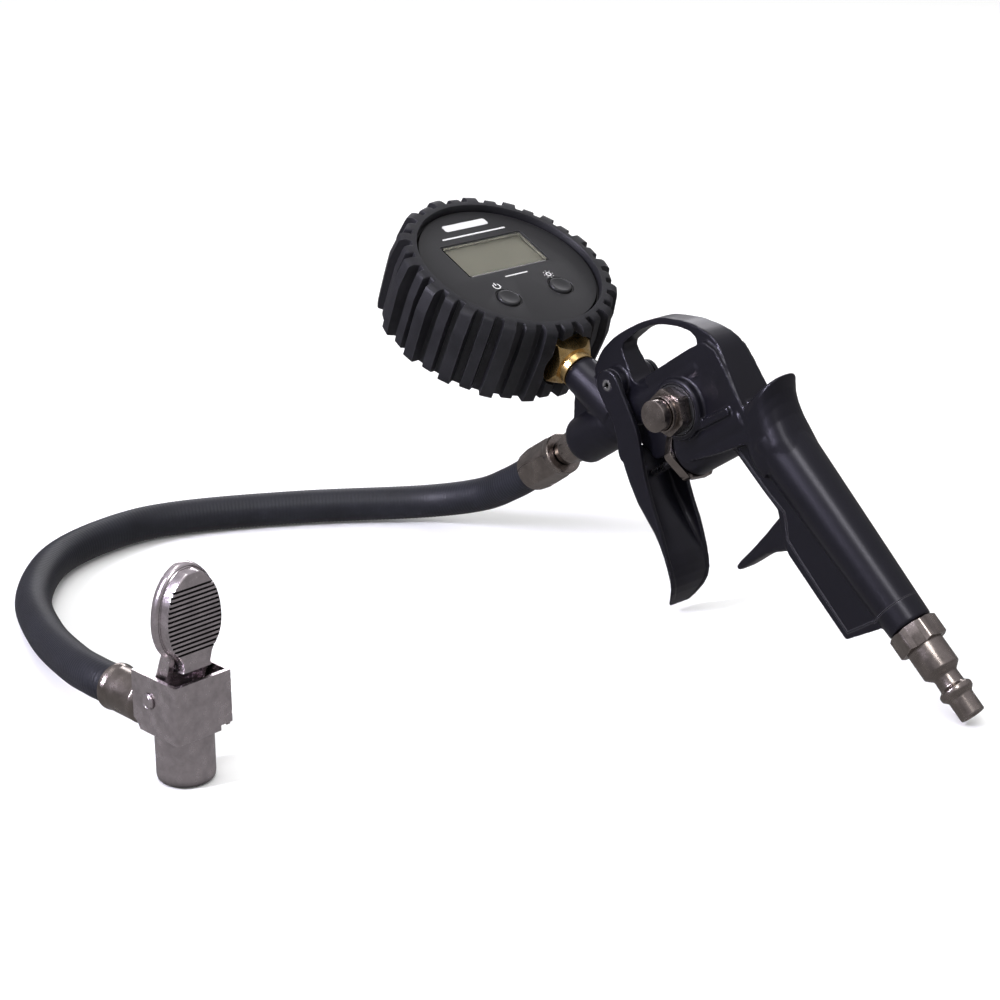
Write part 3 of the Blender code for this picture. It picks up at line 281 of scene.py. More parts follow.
def hexagon(across, low, high, origin, direction, turn=0.0, edge=0.7):
    """A hexagon nut blank whose corners are turned off at both ends, which leaves arcs on its flats."""
    segments = 96
    corner_round = 0.25
    slope = 0.62
    flat = across / 2
    corner = flat / math.cos(math.pi / 6)
    rim = corner - edge
    rings = []
    points = []
    levels = ((low, 1), (low, 1), (high, -1), (high, -1))
    for level, (height, sign) in enumerate(levels):
        rings.append([])
        for i in range(segments):
            angle = 2 * math.pi * i / segments + math.radians(turn)
            within = (2 * math.pi * i / segments) % (math.pi / 3) - math.pi / 6
            reach = min(flat / math.cos(within), corner - corner_round)
            on_face = level in (0, 3)
            radius = min(rim, reach - 0.02) if on_face else reach
            lift = 0.0 if on_face else sign * max(0.05, (reach - min(rim, reach)) * slope)
            rings[-1].append(len(points))
            points.append((radius * math.cos(angle), radius * math.sin(angle), height + lift))
    bottom = len(points)
    points.append((0, 0, low))
    points.append((0, 0, high))
    faces = []
    for lower, upper in zip(rings, rings[1:]):
        for i in range(segments):
            j = (i + 1) % segments
            faces.append([lower[i], lower[j], upper[j], upper[i]])
    for i in range(segments):
        j = (i + 1) % segments
        faces.append([bottom, rings[0][i], rings[0][j]])
        faces.append([bottom + 1, rings[3][j], rings[3][i]])
    return solid(points, faces, origin, direction)


def with_modifier(obj, kind, **settings):
    """Applies one modifier to the object's mesh."""
    modifier = obj.modifiers.new(kind, kind)
    for name, value in settings.items():
        setattr(modifier, name, value)
    bpy.context.view_layer.update()
    graph = bpy.context.evaluated_depsgraph_get()
    mesh = bpy.data.meshes.new_from_object(obj.evaluated_get(graph))
    obj.modifiers.clear()
    obj.data = mesh
    return obj


def combine(base, tools, operation):
    for tool in tools:
        with_modifier(base, "BOOLEAN", operation=operation, solver="MANIFOLD", object=tool)
        bpy.data.objects.remove(tool)
    return base


def fuse(base, *tools):
    return combine(base, tools, "UNION")


def cut(base, *tools):
    return combine(base, tools, "DIFFERENCE")


def joined(*parts):
    """One object with the meshes of all the parts."""
    shape = bmesh.new()
    for part in parts:
        shape.from_mesh(part.data)
        bpy.data.objects.remove(part)
    mesh = bpy.data.meshes.new("joined")
    shape.to_mesh(mesh)
    shape.free()
    obj = bpy.data.objects.new("joined", mesh)
    bpy.context.scene.collection.objects.link(obj)
    return obj


def cast(obj, voxel, passes, factor=0.5):
    """One skin round overlapping shapes, with its corners softened as a casting's are."""
    with_modifier(obj, "REMESH", mode="VOXEL", voxel_size=voxel, adaptivity=0.0)
    return with_modifier(obj, "SMOOTH", factor=factor, iterations=passes)


def finished(obj, name, to_row, body, node, slot, material, angle):
    """Moves the shape into the row frame as a named piece that rides on a body."""
    obj.data.transform(to_row)
    if to_row.determinant() < 0:
        obj.data.flip_normals()
    obj.name = name
    obj.data.name = name
    obj.data.materials.clear()
    obj.data.materials.append(material)
    obj.data.shade_smooth()
    obj.data.set_sharp_from_angle(angle=math.radians(angle))
    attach(obj, body)
    if node:
        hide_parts(node)


# ---- materials -------------------------------------------------------------------------------------


class Nodes:
    """A short way to build a node tree, with coordinates in millimetres."""

    def __init__(self, name):
        self.material = bpy.data.materials.new(name)
        self.material.use_nodes = True
        self.tree = self.material.node_tree
        self.shader = self.tree.nodes["Principled BSDF"]
        self.geometry = self.add("ShaderNodeNewGeometry")
        scale = self.add("ShaderNodeVectorMath", operation="SCALE")
        scale.inputs["Scale"].default_value = 1.0 / MM
        self.link(self.geometry.outputs["Position"], scale.inputs[0])
        self.millimetres = scale.outputs[0]

    def add(self, kind, **settings):
        node = self.tree.nodes.new(kind)
        for name, value in settings.items():
            setattr(node, name, value)
        return node

    def link(self, output, target):
        self.tree.links.new(output, target)

    def noise(self, scale, detail=4.0, roughness=0.55):
        node = self.add("ShaderNodeTexNoise")
        node.inputs["Scale"].default_value = scale
        node.inputs["Detail"].default_value = detail
        node.inputs["Roughness"].default_value = roughness
        self.link(self.millimetres, node.inputs["Vector"])
        return node.outputs["Fac"]

    def ramp(self, value, stops):
        node = self.add("ShaderNodeValToRGB")
        ramp = node.color_ramp
        while len(ramp.elements) < len(stops):
            ramp.elements.new(0.5)
        for element, (position, color) in zip(ramp.elements, stops):
            element.position = position
            element.color = (*color, 1.0)
        self.link(value, node.inputs["Fac"])
        return node.outputs["Color"]

    def grey(self, value, low, high, start=0.3, stop=0.7):
        return self.ramp(value, [(start, (low,) * 3), (stop, (high,) * 3)])

    def feed(self, value, socket):
        """Gives a socket a number, a colour or another node's output."""
        if isinstance(value, (int, float)):
            socket.default_value = value
        elif isinstance(value, tuple):
            socket.default_value = (*value, 1.0)
        else:
            self.link(value, socket)

    def mix(self, factor, first, second):
        node = self.add("ShaderNodeMix", data_type="RGBA")
        for target, value in (("Factor", factor), ("A", first), ("B", second)):
            self.feed(value, next(s for s in node.inputs if s.name == target and s.enabled))
        return next(s for s in node.outputs if s.enabled)

    def bump(self, height, distance, strength=1.0, normal=None):
        node = self.add("ShaderNodeBump")
        node.inputs["Strength"].default_value = strength
        node.inputs["Distance"].default_value = distance * MM
        self.link(height, node.inputs["Height"])
        if normal is not None:
            self.link(normal, node.inputs["Normal"])
        return node.outputs["Normal"]

    def edge(self, radius, low=0.02, high=0.12):
        """Bright where the surface turns within radius millimetres: edge wear, and a painted highlight on the
        edges.
        """
        bevel = self.add("ShaderNodeBevel", samples=4)
        bevel.inputs["Radius"].default_value = radius * MM
        dot = self.add("ShaderNodeVectorMath", operation="DOT_PRODUCT")
        self.link(bevel.outputs["Normal"], dot.inputs[0])
        self.link(self.geometry.outputs["Normal"], dot.inputs[1])
        away = self.add("ShaderNodeMath", operation="SUBTRACT")
        away.inputs[0].default_value = 1.0
        self.link(dot.outputs["Value"], away.inputs[1])
        return self.grey(away.outputs[0], 0.0, 1.0, low, high)

    def occlusion_shade_mask(self, depth):
        """Ambient occlusion as the mask for painted shade: 1 on open surfaces and 0 in corners and grooves
        narrower than depth millimetres.
        """
        node = self.add("ShaderNodeAmbientOcclusion", samples=6)
        node.inputs["Distance"].default_value = depth * MM
        return self.grey(node.outputs["AO"], 0.0, 1.0, 0.25, 0.75)

    def set(self, **values):
        names = {
            "color": "Base Color", "metallic": "Metallic", "roughness": "Roughness", "normal": "Normal",
            "coat": "Coat Weight", "specular": "Specular IOR Level",
            "transmission": "Transmission Weight", "ior": "IOR", "tint": "Specular Tint",
        }
        for name, value in values.items():
            self.feed(value, self.shader.inputs[names[name]])
        return self.material


def black_paint():
    """Satin black paint with a violet-blue cast, fine orange peel, and thin wear and a painted highlight on its
    edges.
    """
    n = Nodes("black_paint")
    cloud = n.noise(0.09, 3.0)
    fine = n.noise(2.6, 5.0, 0.6)
    base = n.mix(cloud, (0.0025, 0.0025, 0.0042), (0.0045, 0.0043, 0.0075))
    # Edge wear with a painted highlight: the edges go to a lighter grey.
    worn_and_highlit = n.mix(n.edge(0.45, 0.03, 0.2), base, (0.075, 0.072, 0.08))
    bump = n.bump(fine, 0.02, 0.45, n.bump(n.noise(0.7, 2.0), 0.04, 0.25))
    gloss = n.grey(fine, 0.28, 0.36)
    return n.set(color=worn_and_highlit, roughness=gloss, specular=0.5, tint=(0.92, 0.9, 1.0), normal=bump)


def dark_nickel(name, tint, rough, wear_and_highlight, shade):
    """Dark nickel plating: a grey metal with small pits, worn edges with a painted highlight, and painted shade in
    its crevices.
    """
    n = Nodes(name)
    cloud = n.noise(0.25, 4.0)
    speck = n.noise(3.5, 4.0, 0.7)
    dark, light, bright, edge = (tuple(min(1.0, c * by) for c in tint) for by in (0.82, 1.15, 1.7, wear_and_highlight))
    base = n.mix(n.grey(cloud, 0.0, 1.0), dark, light)
    base = n.mix(n.grey(speck, 0.0, 0.35, 0.5, 0.7), base, bright)
    # Edge wear with a painted highlight: the edges go to a brighter copy of the tint.
    worn_and_highlit = n.mix(n.edge(0.22, 0.05, 0.25), base, edge)
    # Painted shade: near black where ambient occlusion finds crevices, grooves and the inside of the stirrup.
    crevice_painted_shade = n.mix(n.occlusion_shade_mask(shade), (0.02, 0.018, 0.018), worn_and_highlit)
    bump = n.bump(speck, 0.025, 0.35)
    return n.set(color=crevice_painted_shade, metallic=1.0, roughness=n.grey(cloud, *rough), normal=bump)


def steel(name, dark, light, metallic, rough):
    n = Nodes(name)
    cloud = n.noise(0.8, 4.0)
    bump = n.bump(n.noise(4.0, 2.0), 0.02, 0.3)
    base = n.mix(cloud, dark, light)
    return n.set(color=base, metallic=metallic, roughness=n.grey(cloud, *rough), normal=bump)


def machined_brass():
    n = Nodes("machined_brass")
    cloud = n.noise(0.5, 4.0)
    streak = n.noise(6.0, 2.0)
    base = n.mix(n.grey(cloud, 0.0, 1.0), (0.62, 0.4, 0.14), (0.86, 0.62, 0.29))
    # Edge wear with a painted highlight: the edges go pale gold.
    worn_and_highlit = n.mix(n.edge(0.3, 0.05, 0.25), base, (1.0, 0.88, 0.6))
    return n.set(color=worn_and_highlit, metallic=1.0, roughness=n.grey(streak, 0.2, 0.34),
                 normal=n.bump(streak, 0.02, 0.35))


def boot_rubber():
    """Moulded rubber: matt, a little dusty, with a painted blue-grey sheen and wear on its edges."""
    n = Nodes("boot_rubber")
    cloud = n.noise(0.12, 4.0)
    grain = n.noise(3.5, 4.0, 0.65)
    base = n.mix(n.grey(cloud, 0.0, 1.0), (0.0055, 0.0055, 0.0075), (0.0115, 0.0112, 0.0145))
    # Painted sheen on the edges, partly wear: they go to a lighter blue-grey.
    worn_and_highlit = n.mix(n.edge(0.5, 0.03, 0.3), base, (0.03, 0.03, 0.034))
    bump = n.bump(grain, 0.06, 0.35, n.bump(n.noise(0.25, 2.0), 0.3, 0.15))
    return n.set(color=worn_and_highlit, roughness=n.grey(grain, 0.46, 0.62), specular=0.42, normal=bump)


def hose_rubber():
    n = Nodes("hose_rubber")
    cloud = n.noise(0.06, 3.0)
    grain = n.noise(2.2, 4.0, 0.65)
    base = n.mix(n.grey(cloud, 0.0, 1.0), (0.0055, 0.006, 0.01), (0.0105, 0.0115, 0.018))
    bump = n.bump(grain, 0.06, 0.4)
    return n.set(color=base, roughness=n.grey(grain, 0.42, 0.56), specular=0.5, normal=bump)


def grained(name, dark, light, rough, grain, bump):
    """Rubber or plastic whose colour, gloss and bump all follow one fine grain."""
    n = Nodes(name)
    noise = n.noise(*grain)
    base = n.mix(noise, dark, light)
    return n.set(color=base, roughness=n.grey(noise, *rough), normal=n.bump(noise, *bump))


def panel_plastic():
    """The gauge's face: near black, with a fine sandblasted grain."""
    n = Nodes("panel_plastic")
    grain = n.noise(5.0, 3.0, 0.7)
    cloud = n.noise(0.05, 2.0)
    base = n.mix(cloud, (0.011, 0.011, 0.012), (0.018, 0.018, 0.019))
    # Edge wear with a painted highlight: the edges go to a dark grey.
    worn_and_highlit = n.mix(n.edge(0.3, 0.05, 0.3), base, (0.08, 0.08, 0.08))
    return n.set(color=worn_and_highlit, roughness=n.grey(grain, 0.36, 0.48), normal=n.bump(grain, 0.02, 0.3))


def print_ink():
    n = Nodes("print_ink")
    grain = n.noise(6.0, 3.0, 0.7)
    return n.set(color=n.mix(grain, (0.55, 0.55, 0.55), (0.78, 0.78, 0.78)), roughness=0.55)


def display_glass():
    """The clear window over the display."""
    n = Nodes("display_glass")
    cloud = n.noise(0.08, 2.0)
    clear = n.mix(cloud, (0.92, 0.93, 0.9), (0.97, 0.97, 0.95))
    return n.set(color=clear, roughness=0.04, transmission=1.0, ior=1.35, normal=n.bump(cloud, 0.01, 0.1))


def display_back():
    """The grey-green of an unlit display."""
    n = Nodes("display_back")
    cloud = n.noise(0.06, 2.0)
    grain = n.noise(7.0, 2.0)
    base = n.mix(cloud, (0.4, 0.385, 0.3), (0.47, 0.455, 0.36))
    return n.set(color=base, roughness=n.grey(grain, 0.35, 0.5), specular=0.3)


def board_green():
    n = Nodes("board_green")
    cloud = n.noise(0.6, 4.0)
    green = n.mix(n.grey(cloud, 0.0, 1.0, 0.45, 0.55), (0.01, 0.09, 0.035), (0.02, 0.16, 0.06))
    return n.set(color=green, roughness=0.4, coat=0.4, normal=n.bump(cloud, 0.05, 0.4))


# ---- gun -------------------------------------------------------------------------------------------


def tapered_plate(outline, half_width):
    """A plate across Y whose half width follows the height."""
    return skinned([[(x, side * half_width(z), z) for x, z in outline] for side in (-1, 1)])


def loop_plate():
    """The hanging loop with its window, and the flat body below it; thinner at the top."""
    outline = (
        (9.5, 8.0), (3.0, 12.0), (-4.4, 13.6), (-11.5, 13.5), (-18.7, 12.9), (-28.0, 10.8), (-38.0, 5.0),
        (-44.5, -1.0), (-47.8, -6.0), (-48.2, -14.0), (-48.4, -22.0), (-48.9, -30.0), (-47.0, -38.0),
        (-30.0, -36.0), (-16.0, -33.5), (-14.6, -22.0), (-8.0, -17.4), (2.0, -14.0), (10.0, -10.0),
    )
    window = (
        (-6.5, 8.5), (-8.0, 10.2), (-16.0, 11.0), (-22.5, 10.2), (-28.5, 7.9), (-34.5, 4.5), (-38.3, 1.2),
        (-39.4, -1.5), (-38.6, -3.6), (-34.0, -4.2), (-8.5, -4.2), (-6.5, -2.0),
    )
    body = tapered_plate(soften(outline, 3.0), lambda height: 3.2 + (13.0 - height) * 0.1)
    return cut(body, plate(soften(window, 1.2), -12.0, 12.0))


def cheeks():
    """The flat sides behind the bleeder boss, nearly as wide as the barrel."""
    outline = (
        (-14.0, -3.4), (-36.0, -3.1), (-43.6, -3.6), (-46.9, -8.0), (-47.7, -14.0), (-47.9, -22.0),
        (-48.4, -30.0), (-40.0, -31.0), (-14.0, -17.0),
    )
    return tapered_plate(soften(outline, 0.8), lambda height: 6.7 - height * 0.03)


def tang():
    """The hook over the hand: the top of the handle flares back into it, with a hollow curve below.

    Each station is a centre, a half width across Y and the vector from the centre to the back of its section.
    The sections are square towards the gun, so they run into its flat sides, and round at the back.
    """
    stations = (
        (-52.2, -47.5, 8.5, -8.3, 2.2), (-51.2, -43.4, 9.0, -8.72, 2.35), (-50.9, -38.7, 8.6, -8.8, 3.2),
        (-51.2, -35.4, 8.3, -9.0, 4.0), (-51.8, -32.6, 8.1, -9.4, 4.7), (-52.8, -30.3, 7.9, -10.2, 5.2),
        (-53.7, -28.3, 7.8, -10.2, 4.2), (-54.0, -26.2, 7.3, -9.3, 2.4),
    )
    rings = []
    for x, z, half_width, back_x, back_z in stations:
        ring = []
        for across, back, _ in circle(1.0, 0.0, 40):
            power = 0.85 if back > 0 else 0.4
            reach = signed_power(back, power)
            ring.append((x + reach * back_x, signed_power(across, power) * half_width, z + reach * back_z))
        rings.append(ring)
    return skinned(rings)


def handle_tube():
    profile = [(0.0, 0.0), (6.6, 0.0), (7.0, 0.4), (9.15, 70.0), (7.0, 74.0), (0.0, 77.0)]
    return turned(profile, HANDLE_END, HANDLE_AXIS, 72, 0.2)


def handle_web():
    """The flat web in front of the handle tube."""
    outline = (
        (-31.0, -26.0), (-32.7, -27.1), (-36.4, -40.0), (-40.0, -52.5), (-42.3, -59.5), (-41.6, -61.6),
        (-38.8, -72.6), (-42.8, -88.5), (-46.7, -103.4), (-61.0, -104.4), (-66.0, -104.0), (-52.0, -50.0),
        (-50.0, -26.0),
    )
    return plate(soften(outline, 0.8), -5.0, 5.0)


def finger_spur():
    """The spur between the fingers: it thins towards a blunt round tip."""
    stations = (
        # x, top, bottom, half width
        (-42.5, -60.6, -75.0, 5.0), (-39.5, -61.6, -73.0, 4.9), (-36.5, -62.6, -71.8, 4.8),
        (-33.0, -63.9, -70.9, 4.7), (-29.0, -65.1, -70.3, 4.6), (-25.0, -66.3, -70.4, 4.4),
        (-21.0, -67.3, -70.7, 4.2), (-17.5, -68.1, -70.9, 3.9), (-15.2, -68.8, -70.8, 3.4),
        (-14.4, -69.3, -70.3, 2.8),
    )
    rings = []
    for x, top, bottom, half in stations:
        middle = (top + bottom) / 2
        tall = (top - bottom) / 2
        rings.append([(x, signed_power(across, 0.45) * half, middle + signed_power(up, 0.6) * tall)
                      for across, up, _ in circle(1.0, 0.0, 20)])
    return skinned(rings)


def rib(line, half_width, height, side, base):
    """A raised line in X and Z, on a flat at y = base, standing out by height."""
    path = [Vector(point) for point in line]
    section = (
        (-half_width, -0.6), (-half_width, height * 0.35), (-half_width * 0.5, height),
        (half_width * 0.5, height), (half_width, height * 0.35), (half_width, -0.6),
    )
    rings = []
    for i, point in enumerate(path):
        before = (point - path[i - 1]).normalized() if i else (path[1] - point).normalized()
        after = (path[i + 1] - point).normalized() if i + 1 < len(path) else before
        ahead = (before + after).normalized()
        widen = 1.0 / max(0.4, ahead.dot(after))
        rings.append([(point.x - ahead.y * a * widen, side * (base + b), point.y + ahead.x * a * widen)
                      for a, b in section])
    return skinned(rings)


def casting_marks():
    """The raised border of the panel on each side of the handle."""
    upper = [(-34.9, -29.6), (-38.6, -42.0), (-42.0, -54.0), (-44.7, -61.0), (-43.5, -64.5), (-41.4, -69.0)]
    lower = [(-41.4, -69.0), (-42.6, -75.0), (-45.0, -86.0), (-48.8, -101.6), (-61.5, -101.6)]
    marks = []
    for side in (-1, 1):
        marks.append(rib(upper, 0.45, 0.32, side, 4.95))
        marks.append(rib(lower, 0.4, 0.28, side, 4.95))
    return marks


def gun_body():
    """The casting: its solids become one skin, and then its lines are added and its bores cut."""
    barrel = [(0.0, -41.5), (4.2, -41.5), (6.6, -39.5), (7.3, -36.5), (7.3, 20.0), (0.0, 20.0)]
    boss = [
        (0.0, 9.0), (6.9, 9.0), (7.9, 13.0), (8.2, 17.0), (8.2, 29.6), (7.6, 31.0), (6.4, 31.5), (0.0, 31.5),
    ]
    gauge_boss = [(0.0, -3.0), (7.9, -3.0), (7.5, 3.0), (6.9, 11.0), (6.5, 17.6), (6.1, 19.25), (0.0, 19.25)]
    valve = [(0.0, -46.0), (8.2, -46.0), (8.2, -14.6), (7.6, -14.0), (0.0, -14.0)]
    bleed = [(0.0, -9.0), (7.4, -9.0), (8.0, 6.0), (9.8, 6.6), (9.8, 9.5), (9.3, 10.0), (0.0, 10.0)]
    web = ((9.0, -6.0), (12.0, 6.5), (18.5, 8.2), (23.5, 3.5), (28.0, -2.6), (28.0, -7.0), (12.0, -9.0))
    bar = ((-28.2, -24.5), (-28.4, -27.0), (-43.5, -27.6), (-43.7, -25.1))
    front_web = ((-10.5, -14.0), (-10.5, -26.8), (-7.5, -28.2), (-1.8, -27.8), (1.3, -21.5), (3.6, -12.0))
    parts = joined(
        loop_plate(), cheeks(), tang(), handle_tube(), handle_web(), finger_spur(),
        turned(barrel, BARREL, FORWARD, 72, 0.3), turned(boss, BARREL, FORWARD, 72, 0.3),
        turned(gauge_boss, stem_point(0.0), STEM_AXIS, 72, 0.3),
        turned(valve, VALVE, FORWARD, 72, 0.3), turned(bleed, BLEED, SIDE, 72, 0.2),
        plate(soften(web, 1.0), -3.6, 3.6), plate(soften(bar, 0.8), -8.9, 8.9),
        plate(soften(front_web, 1.0), -4.6, 4.6),
        rod(5.0, -7.7, 7.7, HERE, SIDE),
    )
    body = cast(parts, 0.36, 4)
    body = fuse(body, *casting_marks())
    groove_at_end = [(6.6, 6.9), (8.2, 6.9), (8.2, 7.15), (6.6, 7.15)]
    cutters = [
        rod(5.2, -1.0, 10.4, HANDLE_END, HANDLE_AXIS), rod(3.5, 9.0, 79.3, HANDLE_END, HANDLE_AXIS, 32),
        rod(6.0, -43.0, -12.0, VALVE, FORWARD), rod(3.5, -47.5, -42.0, VALVE, FORWARD, 32),
        rod(2.0, VALVE[2] - 0.5, BARREL[2], (BLEED[0], 0.0, 0.0), UP, 24),
        rod(4.2, -2.0, 12.0, BLEED, SIDE), rod(8.4, 9.1, 12.0, BLEED, SIDE),
        rod(2.5, -26.3, 25.0, BARREL, FORWARD, 32), rod(4.5, 21.0, 33.0, BARREL, FORWARD),
        rod(2.0, -4.5, 15.0, stem_point(0.0), STEM_AXIS, 24),
        rod(4.5, 10.0, 21.0, stem_point(0.0), STEM_AXIS), rod(5.1, 17.4, 21.0, stem_point(0.0), STEM_AXIS),
        rod(1.9, -12.0, 12.0, HERE, SIDE),
        turned(groove_at_end, HANDLE_END, HANDLE_AXIS, 64, 0),
    ]
    return cut(body, *cutters)


TRIGGER_ROWS = (
    # height, front edge, rear edge of the flange, half width, bend radius, dish of the web
    (-20.6, 7.75, -2.9, 9.7, 1.9, 0.0), (-23.5, 8.3, -2.0, 9.7, 1.9, 0.5), (-26.4, 8.9, -0.9, 9.7, 2.0, 0.9),
    (-31.0, 9.6, 0.7, 9.7, 2.2, 1.1), (-38.0, 10.2, 2.5, 9.7, 2.8, 1.2), (-43.5, 9.7, 3.6, 9.7, 3.3, 1.2),
    (-48.8, 9.1, 4.3, 9.7, 3.6, 1.2), (-53.0, 8.9, 5.3, 9.65, 3.2, 1.1), (-57.5, 8.9, 6.5, 9.55, 2.2, 1.0),
    (-61.5, 9.5, 7.7, 9.35, 1.6, 0.9), (-64.6, 10.7, 8.9, 9.0, 1.6, 0.7), (-67.1, 12.5, 10.6, 8.4, 1.6, 0.5),
    (-69.1, 15.3, 13.2, 7.4, 1.6, 0.3), (-70.7, 18.6, 16.9, 5.9, 1.6, 0.15),
    (-71.5, 20.6, 18.6, 4.2, 1.6, 0.1),
)


def trigger_section(front, rear, half, bend, dish):
    """Outside and inside of the folded sheet at one height, from one flange's rear edge to the other's."""
    sheet = 1.6
    outside = []
    inside = []
    bend = min(bend, max(0.3, front - rear - 0.2))
    inner_bend = max(0.15, bend - sheet)
    for step in range(4):
        x = rear + (front - bend - rear) * step / 4
        outside.append((x, half))
        inside.append((min(x, front - sheet - 0.1), half - sheet))
    for step in range(6):
        angle = math.pi / 2 * step / 5
        outside.append((front - bend + bend * math.sin(angle), half - bend + bend * math.cos(angle)))
        reach = max(bend, sheet + inner_bend)
        inner_x = front - reach + inner_bend * math.sin(angle)
        if reach > bend:
            inner_x = max(rear, inner_x)
        inside.append((inner_x, half - reach + inner_bend * math.cos(angle)))
    middle = half - bend
    for step in range(1, 6):
        y = middle * (1 - step / 6)
        drop = dish * (1 - (y / middle) ** 2)
        outside.append((front - drop, y))
        inside.append((front - sheet - drop, y * 0.97))
    outside.append((front - dish, 0.0))
    inside.append((front - sheet - dish, 0.0))
    outside += [(x, -y) for x, y in reversed(outside[:-1])]
    inside += [(x, -y) for x, y in reversed(inside[:-1])]
    return outside, inside


def trigger_web():
    """The folded sheet below the ears, as a skin over sections from the top down."""
    heights, *columns = (np.array(column) for column in zip(*reversed(TRIGGER_ROWS)))
    fine = np.linspace(heights[0], heights[-1], 60)[::-1]
    points = []
    for height in fine:
        outside, inside = trigger_section(*(np.interp(height, heights, column) for column in columns))
        points += [(x, y, height) for x, y in outside + inside]
    width = len(outside)
    ring = 2 * width
    faces = []
    for k in range(len(fine) - 1):
        a = k * ring
        b = a + ring
        for i in range(width - 1):
            faces.append([a + i, a + i + 1, b + i + 1, b + i])
            faces.append([a + width + i, b + width + i, b + width + i + 1, a + width + i + 1])
        faces.append([a, b, b + width, a + width])
        faces.append([a + width - 1, a + ring - 1, b + ring - 1, b + width - 1])
    for start in (0, (len(fine) - 1) * ring):
        for i in range(width - 1):
            faces.append([start + i, start + width + i, start + width + i + 1, start + i + 1])
    return solid(points, faces)


def trigger():
    ear = (
        (3.3, 3.8), (4.8, 1.5), (4.9, -4.3), (4.3, -11.5), (5.6, -16.0), (7.75, -20.6), (8.3, -23.5),
        (4.0, -25.5), (-1.0, -25.5), (-2.4, -22.5), (-4.1, -17.9), (-4.6, -12.0), (-5.0, -1.0), (-4.8, 1.4),
        (-3.6, 3.5), (-1.3, 4.8), (1.3, 4.8),
    )
    parts = joined(trigger_web(), plate(soften(ear, 1.4), 8.1, 9.7), plate(soften(ear, 1.4), -9.7, -8.1))
    body = cast(parts, 0.27, 3)
    return cut(body, rod(1.9, -12.0, 12.0, HERE, SIDE))


def spring_pin():
    """The trigger's pin: rolled sheet, so a tube with a slit."""
    body = turned([(0.85, -9.9), (1.75, -9.9), (1.75, 9.9), (0.85, 9.9)], HERE, SIDE, 48, 0.2)
    return cut(body, box((0.3, -12.0, -0.18), (3.0, 12.0, 0.18)))


def valve_cap():
    """A hexagon with a hollow stud, cross-drilled for the bleeder."""
    head = hexagon(16.8, -14.0, -10.8, VALVE, FORWARD, turn=6.0, edge=0.45)
    stud = turned([(0.0, -30.0), (5.7, -30.0), (5.7, -13.0), (0.0, -13.0)], VALVE, FORWARD, 64, 0.3)
    bore = [(0.0, -31.0), (3.4, -31.0), (3.4, -19.0), (1.6, -19.0), (1.6, -10.0), (0.0, -10.0)]
    hollow = turned(bore, VALVE, FORWARD, 48, 0)
    port = rod(1.5, -8.0, 8.0, (BLEED[0], 0.0, VALVE[2]), SIDE, 24)
    return cut(fuse(head, stud), hollow, port)


def bleed_housing():
    """A hexagon with a thin-walled cup that the button slides in."""
    head = hexagon(13.4, 10.3, 14.5, BLEED, SIDE, turn=12.0, edge=0.4)
    neck = [(0.0, 3.3), (3.9, 3.3), (3.9, 11.0), (5.75, 11.0), (5.75, 16.5), (0.0, 16.5)]
    bore = [(0.0, 2.0), (1.9, 2.0), (1.9, 12.2), (5.3, 12.2), (5.3, 18.0), (0.0, 18.0)]
    return cut(fuse(head, turned(neck, BLEED, SIDE, 72, 0.3)), turned(bore, BLEED, SIDE, 72, 0))


def bleed_button():
    profile = [
        (0.0, 0.7), (3.0, 0.7), (3.0, 1.8), (1.4, 1.8), (1.4, 16.2), (5.05, 16.2), (5.05, 20.0), (0.0, 20.0),
    ]
    return turned(profile, BLEED, SIDE, 72, 0.35)


def inlet_plug():
    """A quick-connect plug: hexagon, shoulder, groove and tip."""
    head = hexagon(14.0, -7.0, -0.3, HANDLE_END, HANDLE_AXIS, turn=10.0, edge=0.9)
    outside = [
        (0.0, -31.4), (3.9, -31.4), (3.9, -25.0), (5.25, -23.7), (5.25, -22.2), (3.9, -21.2), (3.8, -17.5),
        (5.9, -15.6), (5.9, -6.0), (4.9, -5.0), (4.9, 9.0), (0.0, 9.0),
    ]
    bore = [(0.0, -33.0), (3.2, -33.0), (3.0, -31.0), (2.6, -30.4), (2.6, 10.0), (0.0, 10.0)]
    plug = fuse(head, turned(outside, HANDLE_END, HANDLE_AXIS, 72, 0.45))
    return cut(plug, turned(bore, HANDLE_END, HANDLE_AXIS, 48, 0))


def hose_nipple():
    head = hexagon(10.0, 31.8, 38.2, BARREL, FORWARD, turn=8.0, edge=0.6)
    outside = [
        (0.0, 22.0), (4.2, 22.0), (4.2, 31.6), (4.6, 31.9), (4.6, 38.0), (5.1, 38.0), (5.1, 39.4),
        (4.2, 40.0), (4.2, 42.3), (2.8, 42.6), (2.8, 59.5), (0.0, 59.5),
    ]
    nipple = fuse(head, turned(outside, BARREL, FORWARD, 64, 0.3))
    return cut(nipple, rod(1.7, 21.0, 61.0, BARREL, FORWARD, 32))


